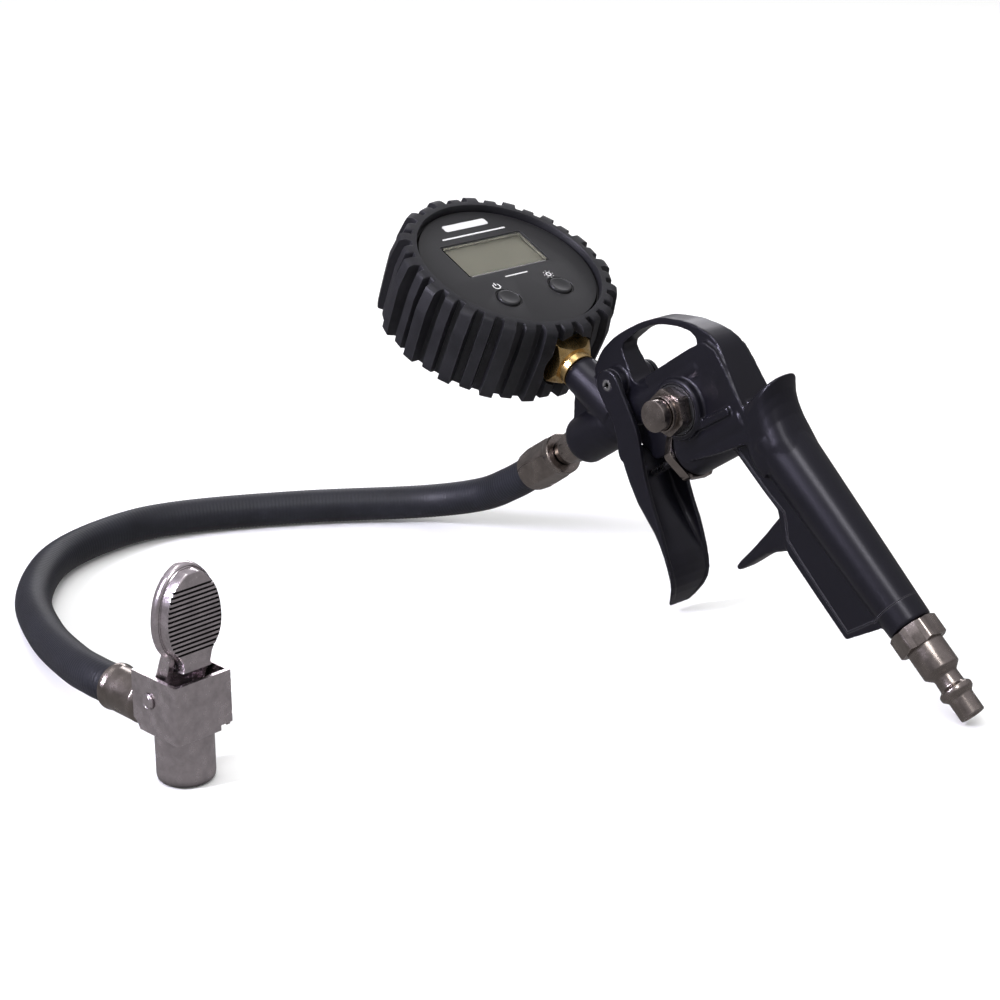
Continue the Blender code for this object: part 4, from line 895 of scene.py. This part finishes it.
def gun_ferrule():
    """The crimped collar on the hose: a rolled lip and six pressed flats that fade into a round end."""
    levels = (
        # height, half the width across flats, how far the flats are pressed
        (42.7, 6.6, 0.0), (43.0, 6.95, 0.0), (44.8, 7.0, 0.0), (45.3, 6.7, 0.15), (45.9, 6.5, 0.5),
        (47.0, 6.55, 1.0), (52.0, 6.6, 1.0), (57.0, 6.65, 1.0), (58.6, 6.75, 0.55), (60.0, 6.8, 0.2),
        (60.6, 6.75, 0.1), (60.8, 6.55, 0.0),
    )
    around = 96
    turn = math.radians(20.0)
    rings = []
    for height, flat, share in levels:
        ring = []
        for i in range(around):
            angle = 2 * math.pi * i / around
            within = angle % (math.pi / 3) - math.pi / 6
            pressed = min(flat / math.cos(within), flat * 1.12)
            radius = (flat + 0.12) * (1 - share) + pressed * share
            ring.append((radius * math.cos(angle + turn), radius * math.sin(angle + turn), height))
        rings.append(ring)
    for radius, height in ((6.25, 60.8), (6.25, 43.7), (3.2, 43.7), (3.2, 42.7)):
        rings.append(circle(radius, height, around, turn))
    return skinned(rings, BARREL, FORWARD, looped=True)


# ---- gauge -----------------------------------------------------------------------------------------


def rounded_rectangle(width, height, radius, centre=(0.0, 0.0), steps=6):
    outline = []
    for quarter, (side_x, side_y) in enumerate(((1, 1), (-1, 1), (-1, -1), (1, -1))):
        middle_x = centre[0] + side_x * (width / 2 - radius)
        middle_y = centre[1] + side_y * (height / 2 - radius)
        for step in range(steps + 1):
            angle = math.pi / 2 * (quarter + step / steps)
            outline.append((middle_x + radius * math.cos(angle), middle_y + radius * math.sin(angle)))
    return outline


def smooth_step(value, low, high):
    t = min(1.0, max(0.0, (value - low) / (high - low)))
    return t * t * (3 - 2 * t)


LUGS = 32
# Height of each ring of the boot's outside, the valley's radius, and the radius on a tall and on a short lug.
BOOT_OUTSIDE = (
    (13.5, 32.7, 32.7, 32.7), (13.5, 33.6, 33.6, 33.6), (13.45, 33.9, 35.6, 34.9), (13.3, 34.0, 36.35, 35.6),
    (12.9, 34.1, 37.2, 36.3), (12.4, 34.2, 37.9, 36.6), (11.2, 34.3, 38.2, 36.8), (9.0, 34.6, 38.55, 37.05),
    (7.0, 34.8, 38.85, 37.25), (5.2, 35.0, 39.12, 37.45), (4.5, 35.0, 39.22, 37.5), (3.8, 35.0, 39.2, 37.5),
    (0.0, 35.0, 39.05, 37.4), (-5.0, 35.0, 38.8, 37.25), (-10.0, 35.0, 38.5, 37.05),
    (-14.2, 35.0, 38.2, 36.85), (-15.3, 34.9, 38.1, 36.7), (-15.75, 34.8, 37.7, 36.4),
    (-15.85, 34.6, 36.4, 35.6), (-15.85, 34.2, 34.2, 34.2),
)
# How far across its share of the rim a lug's foot and top begin, for a tall lug and a short one.
LUG_EDGES = ((0.17, 0.215), (0.19, 0.235))


BOOT_INSIDE = (
    (24.6, -15.85), (24.0, -15.4), (24.0, -14.25), (33.3, -14.25), (33.3, 10.4), (32.0, 10.4), (32.0, 13.1),
    (32.3, 13.5),
)


def gauge_boot():
    """The boot: lugs of two heights in turn, with steep sides, that notch its front rim."""
    per_lug = 25
    count = LUGS * per_lug
    half_step = math.pi / count
    rings = []
    for height, valley, tall, short in BOOT_OUTSIDE:
        ring = []
        for i in range(count):
            lug, step = divmod(i, per_lug)
            inward = 0.5 - abs((step + 0.5) / per_lug - 0.5)
            crown = short if lug % 2 else tall
            angle = 2 * math.pi * i / count + half_step
            radius = valley + (crown - valley) * smooth_step(inward, *LUG_EDGES[lug % 2])
            ring.append((radius * math.cos(angle), radius * math.sin(angle), height))
        rings.append(ring)
    rings += [circle(radius, height, count, half_step) for radius, height in BOOT_INSIDE]
    return cut(skinned(rings, looped=True), rod(10.4, 20.0, 45.0, HERE, TO_STEM))


def face_panel():
    """The front panel, with its window and two dished key holes."""
    body = turned([(0.0, 9.0), (31.1, 9.0), (31.1, 11.5), (0.0, 11.5)], segments=128, fillet=0.35)
    window = slab(rounded_rectangle(35.3, 16.4, 0.6, (0.0, WINDOW_Y)), 8.0, 13.0)
    step_round_window = slab(rounded_rectangle(36.4, 17.5, 1.0, (0.0, WINDOW_Y)), 11.25, 13.0)
    dish = [(0.0, 11.1), (4.5, 11.1), (4.9, 11.6), (0.0, 11.6)]
    places = [(side * KEY_X, KEY_Y, 0.0) for side in (-1, 1)]
    holes = [rod(4.2, 8.0, 13.0, at, UP, 48) for at in places]
    dishes = [turned(dish, at, UP, 48, 0) for at in places]
    return cut(body, window, step_round_window, *holes, *dishes)


def key(x):
    """A soft key with a dished top."""
    profile = [
        (0.0, 4.8), (1.5, 4.8), (1.5, 7.4), (4.9, 7.4), (4.9, 8.6), (3.9, 8.6), (3.9, 11.5), (3.75, 11.9),
        (3.3, 12.05), (2.4, 11.9), (1.2, 11.78), (0.0, 11.75),
    ]
    return turned(profile, (x, KEY_Y, 0.0), UP, 48, 0.2)


def printed(outline):
    return slab(outline, 11.5, 11.53)


def ring_mark(radius, width, centre, gap=0.0):
    """A printed ring, open over gap degrees at its top."""
    steps = 40
    start = math.pi / 2 + math.radians(gap) / 2
    span = 2 * math.pi - math.radians(gap)
    outline = []
    for side in (radius + width / 2, radius - width / 2):
        for i in range(steps + 1):
            k = i if side > radius else steps - i
            angle = start + span * k / steps
            outline.append((centre[0] + side * math.cos(angle), centre[1] + side * math.sin(angle)))
    return printed(outline)


def printed_marks():
    """Plain marks on the face: bars round the window, a power ring and a lamp by the keys."""
    power = (-KEY_X, -7.9)
    lamp = (KEY_X, -7.9)
    marks = [
        printed(rounded_rectangle(19.0, 3.2, 0.9, (0.0, 24.0))),
        printed(rounded_rectangle(28.0, 0.7, 0.3, (0.0, 19.0))),
        printed(rounded_rectangle(10.0, 0.55, 0.25, (0.0, -4.4))),
        ring_mark(1.25, 0.42, power, 70.0),
        printed(rounded_rectangle(0.42, 1.5, 0.15, (power[0], power[1] + 1.1))),
        ring_mark(0.85, 0.38, lamp),
    ]
    for x, y, _ in circle(1.75, 0.0, 8):
        marks.append(printed(rounded_rectangle(0.34, 0.34, 0.12, (lamp[0] + x, lamp[1] + y), 2)))
    return joined(*marks)


def gauge_adapter():
    """Brass: a square block, its end turned to a cone, a collar and two studs."""
    low, high = GAUGE_CENTRE - 29.3, GAUGE_CENTRE - 22.5
    block = slab(rounded_rectangle(14.0, 14.0, 0.35, steps=3), low, high)
    cone = [(0.0, low), (8.6, low), (9.9, low + 1.3), (9.9, high - 3.1), (7.3, high), (0.0, high)]
    block = combine(block, [turned(cone, segments=128, fillet=0)], "INTERSECT")
    block.data.transform(along(TO_STEM))
    outside = [
        (0.0, -38.0), (4.5, -38.0), (4.5, -27.0), (6.2, -26.0), (6.2, -19.6), (3.6, -19.6), (3.6, -17.6),
        (4.2, -17.2), (4.2, -11.0), (0.0, -11.0),
    ]
    at = (0.0, -GAUGE_CENTRE, 0.0)
    adapter = fuse(block, turned(outside, at, TO_STEM, 72, 0.35))
    return cut(adapter, rod(1.5, -39.0, -10.0, at, TO_STEM, 32))


def screw_places():
    return [(x, y + COVER_CENTRE[1], 0.0) for x, y, _ in circle(14.4, 0.0, 3, math.pi / 2)]


def battery_cover():
    """A round door with a coin slot and three screw holes."""
    cover = turned([(0.0, -14.5), (16.9, -14.5), (16.9, -12.9), (0.0, -12.9)], COVER_CENTRE, UP, 96, 0.3)
    holes = [rod(1.2, -16.0, -11.0, at, UP, 24) for at in screw_places()]
    slot = slab(rounded_rectangle(9.0, 1.6, 0.75, COVER_CENTRE), -16.0, -14.0)
    return cut(cover, *holes, slot)


def gauge_case():
    """A cup with screw bosses, open at the front and at the battery door."""
    walls = [(0.0, -13.5), (33.0, -13.5), (33.0, 10.0), (31.5, 10.0), (31.5, -11.5), (0.0, -11.5)]
    bosses = [rod(2.5, -12.0, -7.0, at, UP, 32) for at in screw_places()]
    cup = fuse(turned(walls, segments=128, fillet=0.3), *bosses)
    pilots = [rod(1.15, -15.0, -7.6, at, UP, 24) for at in screw_places()]
    door = [(0.0, -15.0), (17.3, -15.0), (17.3, -12.6), (11.4, -12.6), (11.4, -10.0), (0.0, -10.0)]
    return cut(cup, *pilots, turned(door, COVER_CENTRE, UP, 96, 0), rod(4.9, 28.0, 36.0, HERE, TO_STEM, 48))


# ---- hose ------------------------------------------------------------------------------------------

# The hose's way over the floor, in millimetres from a point under the gun.
HOSE_PATH = (
    (76.0, 0.2, 21.6), (91.0, 1.0, 13.6), (113.0, 10.0, 7.2), (140.0, 43.0, 6.0), (159.8, 80.0, 6.0),
    (163.5, 105.0, 6.0), (154.7, 134.0, 6.0), (130.0, 158.0, 6.3), (97.0, 173.5, 9.0), (65.0, 184.0, 13.8),
    (46.0, 188.0, 16.8),
)


def hose_centres(spacing):
    """Evenly spaced centres along the hose, in floor millimetres, and how far along it each one is."""
    to_floor = FLOOR_FRAME.inverted()
    path = [to_floor @ GUN @ Vector((x, 0.0, BARREL[2])) for x in (44.0, 52.0, 60.8)]
    path += [Vector(point) for point in HOSE_PATH]
    path += [to_floor @ CHUCK @ Vector((x, 0.0, PORT[2])) for x in (30.6, 23.0, 15.8)]
    fine = np.array([tuple(point) for point in curve_through(path, 24, closed=False)])
    lengths = np.concatenate([[0.0], np.cumsum(np.linalg.norm(np.diff(fine, axis=0), axis=1))])
    distances = np.linspace(0.0, lengths[-1], int(lengths[-1] / spacing) + 1)
    return np.stack([np.interp(distances, lengths, fine[:, k]) for k in range(3)], axis=1), distances


def hose():
    """A rubber hose with fine close ribs round it, plain where the fittings hold it."""
    pitch, ridge_height, outside, bore, plain_end = 1.3, 0.085, 5.76, 3.3, 17.0
    around = 36
    centres, distances = hose_centres(pitch / 4)
    even = centres.copy()
    for k in range(3):
        even[4:-4, k] = np.convolve(centres[:, k], np.ones(9) / 9, "valid")
    last = len(even) - 1
    side = Vector(SIDE)
    outer = []
    inner = []
    for i, (centre, distance) in enumerate(zip(even, distances)):
        ahead = Vector(even[min(i + 2, last)] - even[max(i - 2, 0)]).normalized()
        side = (side - ahead * side.dot(ahead)).normalized()
        up = ahead.cross(side)
        held = min(distance, distances[-1] - distance) < plain_end
        ridge = 0.0 if held else ridge_height * abs(math.sin(math.pi * distance / pitch))
        spokes = [side * x + up * y for x, y, _ in circle(1.0, 0.0, around)]
        outer.append([Vector(centre) + spoke * (outside + ridge) for spoke in spokes])
        if i % 5 == 0 or i == last:
            inner.append([Vector(centre) + spoke * bore for spoke in spokes])
    return skinned(outer + inner[::-1], looped=True)


# ---- chuck -----------------------------------------------------------------------------------------


def chuck_body():
    """The barrel that goes over the tyre's valve, with a boss for the hose's nipple."""
    outside = [(0.0, 0.0), (6.9, 0.0), (7.6, 0.35), (8.05, 1.0), (8.2, 2.0), (8.2, 20.6), (0.0, 20.6)]
    boss = [(0.0, 6.4), (4.6, 6.4), (4.6, 11.0), (0.0, 11.0)]
    barrel = fuse(turned(outside, segments=96, fillet=0.35), turned(boss, PORT, FORWARD, 48, 0.3))
    return cut(
        barrel,
        rod(6.0, -1.0, 18.6), rod(2.3, 17.0, 23.0, segments=32),
        rod(1.7, 3.0, 9.0, PORT, FORWARD, 24), rod(3.4, 7.0, 12.0, PORT, FORWARD, 48),
    )


def bracket():
    """The stirrup of folded sheet: a back wall and two side walls, with a ledge on the barrel's top."""
    half, sheet, bend = 9.65, 1.2, 0.9
    back, front, low, high = -9.7, 9.5, 15.5, 32.5

    def folded(front, back, half, bend, steps):
        """A U seen from above: from the open front round the bend to the back, and its mirror image."""
        outline = [(front, half), (back + bend, half)]
        for i in range(1, steps + 1):
            angle = math.pi / 2 * i / steps
            outline.append((back + bend - bend * math.sin(angle), half - bend + bend * math.cos(angle)))
        return outline + [(x, -y) for x, y in reversed(outline)]

    body = slab(folded(front, back, half, bend, 7), low, high)
    inner = folded(front + 5.0, back + sheet, half - sheet, 0.3, 5)
    ledge_trim = box((6.2, -half + sheet, 15.0), (20.0, half - sheet, 40.0))
    cut(body, slab(inner, 10.0, 20.9), slab(inner, 22.1, 45.0), ledge_trim)
    side_trim = plate([(4.5, 10.0), (12.0, 10.0), (12.0, 19.8), (8.2, 17.6), (6.6, 15.2)], -12.0, 12.0)
    back_low = box((-12.0, -12.0, 10.0), (-8.0, -5.2, 17.0))
    pin_hole = rod(1.25, -12.0, 12.0, LEVER_PIN, SIDE, 32)
    cut(body, side_trim, back_low, rod(5.5, 15.0, 24.0, segments=48), pin_hole)
    sharp = math.radians(40)
    return with_modifier(body, "BEVEL", width=0.22, segments=2, limit_method="ANGLE", angle_limit=sharp)


def lever_pin():
    """A rivet with a ringed head, nicked on one side."""
    profile = [
        (0.0, -9.95), (0.95, -9.95), (0.95, 9.7), (2.25, 9.7), (2.25, 10.25), (1.95, 10.45), (1.8, 10.3),
        (1.65, 10.45), (0.0, 10.5),
    ]
    x, _, z = LEVER_PIN
    nick = box((x - 2.4, 10.0, z - 2.4), (x - 1.2, 12.0, z - 1.2))
    return cut(turned(profile, LEVER_PIN, SIDE, 64, 0.08), nick)


# Height above the pin and half width of the thumb piece.
CAP_ROWS = (
    (9.0, 4.7), (9.5, 5.0), (11.0, 5.25), (12.4, 6.2), (14.0, 7.6), (16.3, 9.15), (19.0, 10.15),
    (22.0, 10.6), (25.0, 10.55), (28.0, 10.1), (31.0, 9.25), (33.4, 8.1), (35.4, 6.7), (37.0, 5.1),
    (38.2, 3.3), (38.9, 1.5),
)
# Distance out from the pin's plane, and how far the outline has drawn in there: the back, the rolled rim,
# the step inside it, and the raised pad.
CAP_LEVELS = (
    (-4.6, 2.1), (-3.9, 1.4), (-3.5, 0.7), (-3.55, 0.25), (-4.0, 0.0), (-5.0, 0.0), (-5.6, 0.12),
    (-6.0, 0.4), (-6.2, 0.75), (-6.1, 1.0), (-6.35, 1.2), (-7.2, 1.3), (-8.8, 1.45), (-9.25, 1.6),
    (-9.45, 1.85), (-9.5, 2.2),
)


def lever_cap():
    """The oval thumb piece: a raised pad inside a rolled rim, and a dished back."""
    outline = [(width, height) for height, width in CAP_ROWS]
    outline += [(-width, height) for height, width in reversed(CAP_ROWS)]
    middle = Vector((0.0, 24.0))
    rings = []
    for x, inset in CAP_LEVELS:
        ring = []
        for y, z in curve_through(outline, 3):
            out = Vector((y, z)) - middle
            drawn_in = inset / max(8.0, out.length)
            at_neck = min(1.0, max(0.0, (13.0 - z) / 4.0))
            height_share = 1.0 - drawn_in * (1.0 - 0.8 * at_neck)
            ring.append((x, y * (1.0 - drawn_in), middle.y + out.y * height_share))
        rings.append(ring)
    return skinned(rings)


def lever_grooves():
    """A comb that cuts the grooves, nearly as wide as the pad is at each of them."""
    count, first, pitch, width, margin = 15, 14.6, 1.3, 0.66, 1.65
    heights, widths = zip(*CAP_ROWS)
    grooves = []
    for i in range(count):
        low = first + pitch * i
        half = float(np.interp(low, heights, widths)) - margin
        grooves.append(box((-12.0, -half, low), (-8.6, half, low + width)))
    return joined(*grooves)


def cam_outline():
    """A cam whose radius grows by 1.8 over a quarter turn, then closes over the pin."""
    outline = []
    for degrees in range(0, 91, 5):
        radius = 2.4 + 1.8 * degrees / 90
        angle = math.radians(degrees)
        outline.append((radius * math.sin(angle), -radius * math.cos(angle)))
    over_pin = [(4.1, 1.0), (3.2, 2.4), (1.6, 3.0), (-0.6, 2.6), (-2.2, 1.2), (-2.4, -0.4), (-1.5, -1.9)]
    return outline + over_pin


def chuck_lever():
    """The lever about its pin, then moved to it."""
    cap = cut(lever_cap(), lever_grooves())
    arm = [
        (-2.4, -0.4), (-1.7, -1.7), (0.0, -2.4), (1.7, -1.7), (2.4, 0.0), (1.6, 2.6), (-0.9, 8.0),
        (-2.4, 12.0), (-4.2, 16.0), (-5.4, 18.0), (-6.2, 16.0), (-6.6, 12.0), (-6.0, 9.4), (-4.6, 7.0),
        (-3.1, 4.0),
    ]
    arms = [plate(soften(arm, 0.8), 5.5, 7.3), plate(soften(arm, 0.8), -7.3, -5.5)]
    hub = turned([(0.0, -7.0), (2.35, -7.0), (2.35, 7.0), (0.0, 7.0)], HERE, SIDE, 48, 0.2)
    cam = plate(cam_outline(), -2.3, 2.3)
    # A plate between the arms that stands in for the shade in the gap under the pad; the painted crevice shade
    # darkens it.
    neck = box((-3.6, -5.8, 3.0), (-2.6, 5.8, 9.4))
    lever = fuse(cap, *arms, hub, cam, neck)
    cut(lever, rod(1.25, -12.0, 12.0, HERE, SIDE, 32))
    lever.data.transform(Matrix.Translation(LEVER_PIN))
    return lever


def chuck_nipple():
    head = hexagon(10.0, 11.4, 14.4, PORT, FORWARD, turn=14.0, edge=0.5)
    outside = [
        (0.0, 7.4), (3.1, 7.4), (3.1, 11.0), (3.6, 12.0), (3.6, 14.5), (2.8, 14.8), (2.8, 29.5), (0.0, 29.5),
    ]
    nipple = fuse(head, turned(outside, PORT, FORWARD, 48, 0.2))
    return cut(nipple, rod(1.6, 6.0, 31.0, PORT, FORWARD, 32))


def chuck_ferrule():
    profile = [
        (3.2, 15.0), (6.0, 15.0), (6.7, 16.6), (6.6, 18.6), (6.55, 28.0), (6.9, 29.4), (6.9, 30.3),
        (6.6, 30.6), (6.25, 30.6), (6.25, 15.5), (3.2, 15.5),
    ]
    return turned(profile, PORT, FORWARD, 72, 0.3)


# ---- assembly --------------------------------------------------------------------------------------


def add_pieces(to_row, materials, pieces):
    """Each piece is a shape, its name, body, replaced node, slot, look and sharp angle in degrees."""
    for shape, name, body, node, slot, look, angle in pieces:
        finished(shape, name, to_row, body, node, slot, materials[look], angle)


def build_gun(materials):
    washer = turned([(4.3, 9.4), (8.0, 9.4), (8.0, 10.1), (4.3, 10.1)], BLEED, SIDE, 72, 0.15)
    add_pieces(GUN, materials, (
        (gun_body(), "gun_casting", "gun", "gun_body", "black_paint", "paint", 40),
        (trigger(), "trigger_lever", "trigger", "trigger", "black_paint", "paint", 50),
        (spring_pin(), "trigger_spring_pin", "gun", "trigger_pin", "steel", "steel", 32),
        (valve_cap(), "valve_cap", "gun", "valve_cap_nut", "dark_nickel", "nickel", 32),
        (bleed_housing(), "bleed_housing_turned", "gun", "bleed_housing", "dark_nickel", "nickel", 32),
        (bleed_button(), "bleed_button_turned", "bleed_plunger", "bleed_button", "dark_nickel", "nickel", 32),
        (washer, "bleed_washer_turned", "gun", "bleed_washer", "steel", "washer", 32),
        (inlet_plug(), "inlet_plug_turned", "gun", "inlet_plug", "dark_nickel", "nickel", 32),
        (hose_nipple(), "hose_nipple_turned", "gun", "hose_nipple", "dark_nickel", "nickel", 32),
        (gun_ferrule(), "hose_ferrule_crimped", "gun", "hose_ferrule", "dark_nickel", "nickel", 32),
    ))


def build_gauge(materials):
    add_pieces(GAUGE, materials, (
        (gauge_boot(), "gauge_boot_lugged", "gun", "gauge_boot", "boot_rubber", "boot", 45),
        (gauge_case(), "gauge_case_moulded", "gun", "gauge_case", "case_plastic", "case", 32),
        (face_panel(), "gauge_face", "gun", "gauge_face_panel", "panel_plastic", "panel", 32),
        (key(-KEY_X), "left_key_cap", "left_key", "left_gauge_button", "button_rubber", "key", 32),
        (key(KEY_X), "right_key_cap", "right_key", "right_gauge_button", "button_rubber", "key", 32),
        (printed_marks(), "face_marks", "gun", None, "panel_plastic", "ink", 32),
        (battery_cover(), "battery_door", "gun", "battery_cover", "case_plastic", "case", 32),
        (gauge_adapter(), "brass_adapter", "gun", "gauge_adapter", "brass", "brass", 32),
    ))


def build_hose_and_chuck(materials):
    add_pieces(FLOOR_FRAME, materials, ((hose(), "ribbed_hose", "gun", "hose", "hose_rubber", "hose", 60),))
    add_pieces(CHUCK, materials, (
        (chuck_body(), "chuck_barrel", "gun", "chuck_body", "dark_nickel", "chuck", 32),
        (bracket(), "chuck_stirrup", "gun", "chuck_bracket", "dark_nickel", "chuck", 32),
        (lever_pin(), "lever_rivet", "gun", "chuck_lever_pin", "steel", "chuck", 32),
        (chuck_lever(), "chuck_thumb_piece", "chuck_thumb_lever", "chuck_lever", "dark_nickel", "chuck", 28),
        (chuck_nipple(), "chuck_nipple_turned", "gun", "chuck_nipple", "dark_nickel", "nickel", 32),
        (chuck_ferrule(), "chuck_ferrule_turned", "gun", "chuck_ferrule", "dark_nickel", "nickel", 32),
    ))


def dress_cad_nodes(materials):
    """Gives the pieces that are shown as they are their own finish."""
    choice = {
        "steel": "steel", "seal_rubber": "seal", "lens": "glass", "display": "display", "board": "board",
        "case_plastic": "case", "dark_nickel": "nickel",
    }
    slots = {part["node"]: part["material_slot"] for part in frame["record"]["subparts"]}
    for name, node in frame["nodes"].items():
        if node.hide_render:
            continue
        material = materials[choice[slots[name]]]
        if not node.material_slots:
            node.data.materials.append(material)
        for slot in node.material_slots:
            slot.material = material
        node.data.shade_smooth()
        node.data.set_sharp_from_angle(angle=math.radians(35))


def light(name, location, target, size, power, color=(1.0, 1.0, 1.0), spread=180.0):
    """A rectangular lamp aimed at target; spread is the angle that it shines into, in degrees."""
    lamp = bpy.data.lights.new(name, "AREA")
    lamp.shape = "RECTANGLE"
    lamp.size, lamp.size_y = size
    lamp.energy = power
    lamp.color = color
    lamp.spread = math.radians(spread)
    obj = bpy.data.objects.new(name, lamp)
    obj.location = location
    obj.rotation_euler = (Vector(target) - Vector(location)).to_track_quat("-Z", "Y").to_euler()
    bpy.context.scene.collection.objects.link(obj)


def floor_white():
    """White to the eye, but only a soft grey in the metal's reflections."""
    n = Nodes("floor_white")
    n.set(color=(0.93, 0.93, 0.93), roughness=0.85, specular=0.15)
    path = n.add("ShaderNodeLightPath")
    dim = n.add("ShaderNodeEmission")
    dim.inputs["Color"].default_value = (0.21, 0.205, 0.21, 1.0)
    mix = n.add("ShaderNodeMixShader")
    n.link(path.outputs["Is Glossy Ray"], mix.inputs[0])
    n.link(n.shader.outputs[0], mix.inputs[1])
    n.link(dim.outputs[0], mix.inputs[2])
    n.link(mix.outputs[0], n.tree.nodes["Material Output"].inputs["Surface"])
    return n.material


def soft_room():
    """An even white room that reflections see as dark walls under a bright ceiling."""
    world = bpy.data.worlds.new("studio")
    bpy.context.scene.world = world
    world.use_nodes = True
    tree = world.node_tree
    background = tree.nodes["Background"]
    path = tree.nodes.new("ShaderNodeLightPath")
    direction = tree.nodes.new("ShaderNodeTexCoord")
    parts = tree.nodes.new("ShaderNodeSeparateXYZ")
    ramp = tree.nodes.new("ShaderNodeValToRGB")
    ramp.color_ramp.elements[0].position = 0.05
    ramp.color_ramp.elements[0].color = (0.16, 0.155, 0.16, 1.0)
    ramp.color_ramp.elements[1].position = 0.9
    ramp.color_ramp.elements[1].color = (0.45, 0.44, 0.47, 1.0)
    mix = tree.nodes.new("ShaderNodeMix")
    mix.data_type = "RGBA"
    factor, even, seen = (
        next(s for s in mix.inputs if s.name == name and s.enabled) for name in ("Factor", "A", "B")
    )
    even.default_value = (1.02, 1.02, 1.02, 1.0)
    tree.links.new(direction.outputs["Generated"], parts.inputs[0])
    tree.links.new(parts.outputs["Z"], ramp.inputs["Fac"])
    tree.links.new(path.outputs["Is Glossy Ray"], factor)
    tree.links.new(ramp.outputs["Color"], seen)
    tree.links.new(next(s for s in mix.outputs if s.enabled), background.inputs["Color"])


# Where the camera stands, in floor millimetres, and the way it looks.
CAMERA_AT = (-473.2, 505.0, 291.3)
CAMERA_LOOKS = (0.69407, -0.63124, -0.34694)


def studio():
    """A white floor and soft light from above, in metres."""
    reach = 6.0
    corners = [(-reach, -reach, 0), (reach, -reach, 0), (reach, reach, 0), (-reach, reach, 0)]
    floor = solid(corners, [[0, 1, 2, 3]])
    floor.name = "floor"
    floor.location.z = CAD_BOUNDS[0].z - 0.0002
    floor.data.materials.append(floor_white())
    soft_room()
    middle = (0.03, 0.0, 0.05)
    light("key", (-0.55, 0.45, 0.95), middle, (0.3, 0.3), 2.6)
    light("top", (0.15, 0.1, 1.3), middle, (0.6, 0.6), 2.5)
    light("rear_strip", (0.85, -0.85, 0.55), middle, (0.9, 0.2), 3.0, (0.97, 0.96, 1.0))
    light("handle_strip", (0.25, 0.9, 0.6), (0.0, -0.08, 0.05), (0.05, 0.5), 1.1, (0.84, 0.81, 1.0), 50.0)


def place_camera():
    camera = bpy.data.cameras.new("camera")
    camera.lens = 82.9
    camera.sensor_width = 36.0
    camera.clip_start = 0.01
    obj = bpy.data.objects.new("camera", camera)
    obj.location = FLOOR_FRAME @ Vector(CAMERA_AT)
    obj.rotation_mode = "QUATERNION"
    obj.rotation_quaternion = Vector(CAMERA_LOOKS).to_track_quat("-Z", "Y")
    bpy.context.scene.collection.objects.link(obj)
    bpy.context.scene.camera = obj
    bpy.context.scene.view_settings.view_transform = "Standard"


def main():
    materials = {
        "paint": black_paint(),
        # The last two numbers: how bright the worn edges and their painted highlight go, and how far the painted
        # crevice shade reaches in millimetres.
        "nickel": dark_nickel("dark_nickel", (0.36, 0.315, 0.29), (0.17, 0.3), 2.6, 1.2),
        "chuck": dark_nickel("dark_nickel_chuck", (0.8, 0.72, 0.745), (0.2, 0.3), 1.3, 7.0),
        "steel": steel("bright_steel", (0.42, 0.42, 0.44), (0.68, 0.67, 0.66), 1.0, (0.2, 0.34)),
        "washer": steel("washer_steel", (0.05, 0.05, 0.055), (0.1, 0.1, 0.105), 0.8, (0.25, 0.4)),
        "brass": machined_brass(),
        "boot": boot_rubber(),
        "hose": hose_rubber(),
        "seal": grained(
            "seal_rubber", (0.01, 0.01, 0.011), (0.022, 0.022, 0.024), (0.45, 0.65), (4.0, 3.0), (0.03, 0.3)
        ),
        "key": grained(
            "key_rubber", (0.012, 0.012, 0.013), (0.02, 0.02, 0.021), (0.34, 0.46), (4.0, 3.0), (0.02, 0.3)
        ),
        "case": grained(
            "case_plastic", (0.014, 0.014, 0.015), (0.024, 0.024, 0.026), (0.45, 0.6), (3.0, 3.0, 0.7),
            (0.04, 0.4),
        ),
        "panel": panel_plastic(),
        "ink": print_ink(),
        "glass": display_glass(),
        "display": display_back(),
        "board": board_green(),
    }
    build_gun(materials)
    build_gauge(materials)
    build_hose_and_chuck(materials)
    dress_cad_nodes(materials)
    studio()
    place_camera()


main()
